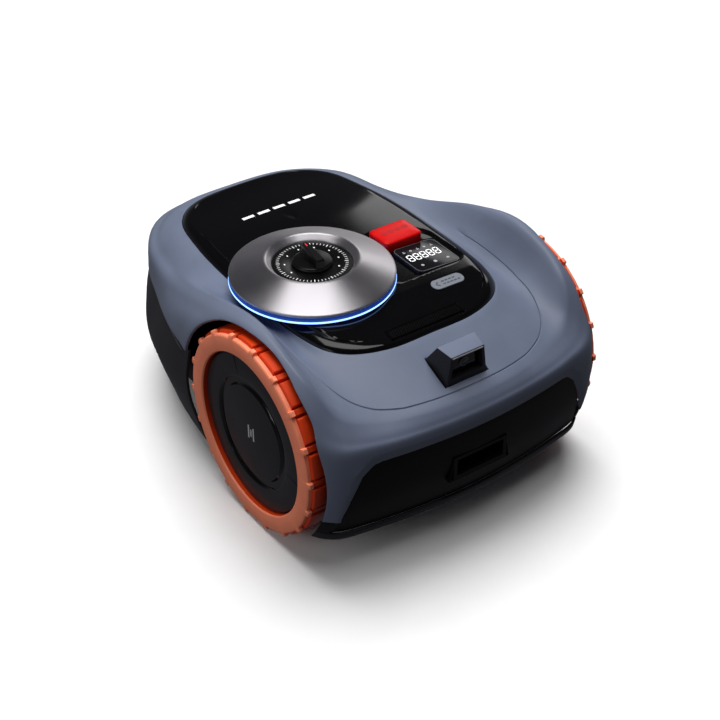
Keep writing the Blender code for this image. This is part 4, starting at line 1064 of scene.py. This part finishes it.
# ---- wheels ---------------------------------------------------------------------------------------
def make_tyre(side, name):
    """Broad rounded pads with a narrow rib between each two, all joined to a side ring."""
    base_r = TYRE_R - TREAD_DEPTH
    verts, faces = [], []
    pad_edge = [(0.0, 0.0), (0.15, 0.55), (0.45, 0.90), (0.95, 1.0), (1.9, 1.0)]
    pitch = 360 / LUGS
    marks = [(a, share, 0.0) for a, share in pad_edge] + [(a, 1.0, 0.0) for a in (4.0, 6.0, 8.0, 10.0, 12.0)]
    marks += [(14.4 - a, share, 0.0) for a, share in pad_edge[::-1]]
    marks += [(15.3, 0.0, 0.0), (15.55, 0.0, 0.85), (15.9, 0.0, 1.0), (18.4, 0.0, 1.0), (18.75, 0.0, 0.85),
              (19.0, 0.0, 0.0)]
    stations = LUGS * len(marks)
    for i in range(stations):
        lug, place = divmod(i, len(marks))
        angle, share, tab = marks[place]
        turn = math.radians(lug * pitch + angle)
        top = base_r + (TYRE_R - 0.0004 - base_r) * share
        rib = base_r + (TYRE_R - 0.0012 - base_r) * tab
        ring = TYRE_R - 0.0040 + 0.0038 * tab
        high = max(top, rib)
        profile = [
            (TYRE_IN, BEAD_R), (TYRE_OUT - 0.0020, BEAD_R - 0.0004), (TYRE_OUT - 0.0004, BEAD_R + 0.0006),
            (TYRE_OUT, BEAD_R + 0.0020), (TYRE_OUT, ring - 0.0022), (TYRE_OUT - 0.0005, ring - 0.0009),
            (TYRE_OUT - 0.0014, ring), (TYRE_OUT - 0.0052, ring), (TYRE_OUT - 0.0058, high - 0.0008),
            (TYRE_OUT - 0.0068, high), (TYRE_IN + 0.0070, max(top, rib * (tab > 0))),
            (TYRE_IN + 0.0025, high - 0.0010), (TYRE_IN, high - 0.0060)]
        for x, r in profile:
            verts.append((side * x, r * math.cos(turn), r * math.sin(turn)))
    size = len(profile)
    for i in range(stations):
        j = (i + 1) % stations
        for k in range(size):
            m = (k + 1) % size
            face = [i * size + k, i * size + m, j * size + m, j * size + k]
            faces.append(face if side > 0 else face[::-1])
    # The outer side ring takes the paler copy of the orange: painted light on the face turned to the key
    # light
    light = lambda polygon: 1 if abs(polygon.center.x) > TYRE_OUT - 0.0053 else 0
    tyre = add(f"lugged_tyre_{name}", verts, faces, TREAD, PAINTED_LIT_SIDEWALL, at=(0, WHEEL_Y, WHEEL_Z),
               smooth_angle=28, choose=light)
    stands_for(tyre, f"drive_wheel_{name}", "tread_orange", f"tyre_{name}")


def make_hub(side, name):
    place = (0, WHEEL_Y, WHEEL_Z)
    axis = "x" if side > 0 else "-x"
    rim, face, back = 0.0893, HUB_FACE, 0.1773
    groove_in, groove_out = 0.0530, 0.0640
    profile = [
        (0, back), (rim, back), (rim, face - 0.0030), (rim - 0.0004, face - 0.0016),
        (rim - 0.0012, face - 0.0006), (rim - 0.0026, face), (groove_out, face + 0.0006),
        (0.0628, face + 0.0003), (0.0618, face - 0.0010), (0.0612, face - 0.0022),
        (0.0550, face - 0.0022), (0.0540, face - 0.0012), (groove_in, face + 0.0004),
        (0.0518, face + 0.0008), (0, face + 0.0012)]

    def glossy(polygon):
        radius = math.hypot(polygon.center.y, polygon.center.z)
        return 1 if groove_in < radius < groove_out and abs(polygon.center.x) > 0.1785 else 0

    hub = add(f"hub_disc_{name}", *turned_data(profile, 144, axis), HUB, HUB_GLOSS, at=place,
              smooth_angle=35, choose=glossy)
    stands_for(hub, f"drive_wheel_{name}", "charcoal", f"hub_cap_{name}")
    parts = []
    # The three slits are near-flush dark glossy bars on the face: painted shade in place of the openings
    for turn in (math.radians(70), math.radians(190), math.radians(310)):
        line = bar((0.0665 * math.cos(turn), 0.0665 * math.sin(turn)),
                   (0.0850 * math.cos(turn), 0.0850 * math.sin(turn)), 0.0013)
        low, high = face - 0.0004, face + 0.0007
        parts.append(prism_data(line, low, high, "x"))
    slit_shade = add(f"hub_painted_slit_shade_{name}", *mirrored_x(joined(parts), side), HUB_GLOSS, at=place)
    stands_for(slit_shade, f"drive_wheel_{name}", "charcoal")
    low, high = face + 0.0008, face + 0.00135
    mark = [prism_data(bar((-0.0045, -0.0080), (-0.0045, 0.0080), 0.0024), low, high, "x"),
            prism_data(bar((0.0000, -0.0045), (0.0000, 0.0045), 0.0024), low, high, "x"),
            prism_data(bar((0.0045, -0.0080), (0.0045, 0.0080), 0.0024), low, high, "x")]
    badge = add(f"hub_mark_{name}", *mirrored_x(joined(mark), side), PALE, at=place)
    stands_for(badge, f"drive_wheel_{name}", "charcoal")


def mirrored_x(data, side):
    verts, faces = data
    if side > 0:
        return verts, faces
    return [(-x, y, z) for x, y, z in verts], [face[::-1] for face in faces]


# ---- finish of the pieces kept from the CAD -------------------------------------------------------
KEPT = {
    CHARCOAL: ["chassis_tub", "battery_door", "wheel_well_left", "wheel_well_right", "cutting_deck",
               "cutter_carriage", "skid_plate", "wheel_rim_left", "wheel_rim_right", "castor_fork_left",
               "castor_fork_right"],
    BLACK: ["charge_socket", "stop_switch"],
    STEEL: ["lift_screw", "stop_spring", "guide_rod_front", "guide_rod_rear", "wheel_axle_left",
            "wheel_axle_right", "castor_axle_left", "castor_axle_right", "cutter_spindle", "blade_disc",
            "blade_1", "blade_2", "blade_3", "blade_screw_1", "blade_screw_2", "blade_screw_3"],
    CAST: ["drive_motor_left", "drive_motor_right", "cutter_motor"],
    BOARD: ["main_board", "display_board"],
    WRAP: ["battery_pack"],
    CASTOR: ["castor_wheel_left", "castor_wheel_right"],
    BRASS: ["charge_contact_left", "charge_contact_right"],
}


def dress_kept_pieces():
    for material, names in KEPT.items():
        for name in names:
            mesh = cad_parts[name].data
            mesh.materials.clear()
            mesh.materials.append(material)


make_dial()
make_stop_button()
make_display()
make_badge()
make_vents()
make_hood_mark()
make_camera_pod()
make_port()
for side, name in ((-1, "right"), (1, "left")):
    make_tyre(side, name)
    make_hub(side, name)
dress_kept_pieces()


# ---- studio ---------------------------------------------------------------------------------------
def make_studio():
    floor = add("studio_floor", [(-14, -14, 0), (14, -14, 0), (14, 14, 0), (-14, 14, 0)], [[0, 1, 2, 3]],
                finish("floor_paint", (0.86, 0.86, 0.86), 0.9, mottle=0.01))
    floor.visible_diffuse = False
    floor.visible_glossy = False
    world = bpy.data.worlds.new("studio")
    bpy.context.scene.world = world
    world.use_nodes = True
    nodes, links = world.node_tree.nodes, world.node_tree.links
    place = nodes.new("ShaderNodeTexCoord")
    height = nodes.new("ShaderNodeSeparateXYZ")
    links.new(place.outputs["Generated"], height.inputs[0])
    ramp = nodes.new("ShaderNodeValToRGB")
    ramp.color_ramp.elements[0].position = 0.0
    ramp.color_ramp.elements[0].color = (0.10, 0.10, 0.11, 1)
    ramp.color_ramp.elements[1].position = 0.45
    ramp.color_ramp.elements[1].color = (0.03, 0.03, 0.034, 1)
    links.new(height.outputs["Z"], ramp.inputs["Fac"])
    links.new(ramp.outputs["Color"], nodes["Background"].inputs["Color"])
    nodes["Background"].inputs["Strength"].default_value = 1.0
    suns = [("overhead", (0.22, 0.50, 1.0), 50, 3.4), ("side", (-0.9, 0.05, 0.60), 40, 0.40)]
    for name, towards, spread, strength in suns:
        light = bpy.data.lights.new(name, "SUN")
        light.energy = strength
        light.angle = math.radians(spread)
        lamp = bpy.data.objects.new(name, light)
        lamp.rotation_euler = Vector(towards).to_track_quat("Z", "Y").to_euler()
        lamp.visible_glossy = False
        bpy.context.scene.collection.objects.link(lamp)
    panels = [("rear_softbox", (2.14, 1.60, 1.33), (1.5, 0.74), 6),
              ("top_softbox", (-0.10, -0.10, 2.4), (2.0, 1.3), 22),
              ("left_softbox", (-2.4, -0.3, 1.1), (1.4, 0.8), 6)]
    for name, at, size, energy in panels:
        light = bpy.data.lights.new(name, "AREA")
        light.shape = "RECTANGLE"
        light.size, light.size_y = size
        light.energy = energy
        lamp = bpy.data.objects.new(name, light)
        lamp.location = at
        lamp.rotation_euler = (Vector(at) - Vector((0, 0, 0.15))).to_track_quat("Z", "Y").to_euler()
        bpy.context.scene.collection.objects.link(lamp)


def make_camera_view():
    data = bpy.data.cameras.new("view")
    data.sensor_width = 36
    data.lens = 79.7
    data.clip_end = 60
    camera = bpy.data.objects.new("view", data)
    target = Vector((-0.0241, -0.0906, 0.1200))
    azimuth, elevation, distance = -35.67, 35.53, 1.7235
    a, e = math.radians(azimuth), math.radians(elevation)
    back = Vector((math.sin(a) * math.cos(e), -math.cos(a) * math.cos(e), math.sin(e)))
    camera.location = target + back * distance
    camera.rotation_euler = back.to_track_quat("Z", "Y").to_euler()
    bpy.context.scene.collection.objects.link(camera)
    bpy.context.scene.camera = camera


make_studio()
make_camera_view()
bpy.context.scene.view_settings.view_transform = "Standard"
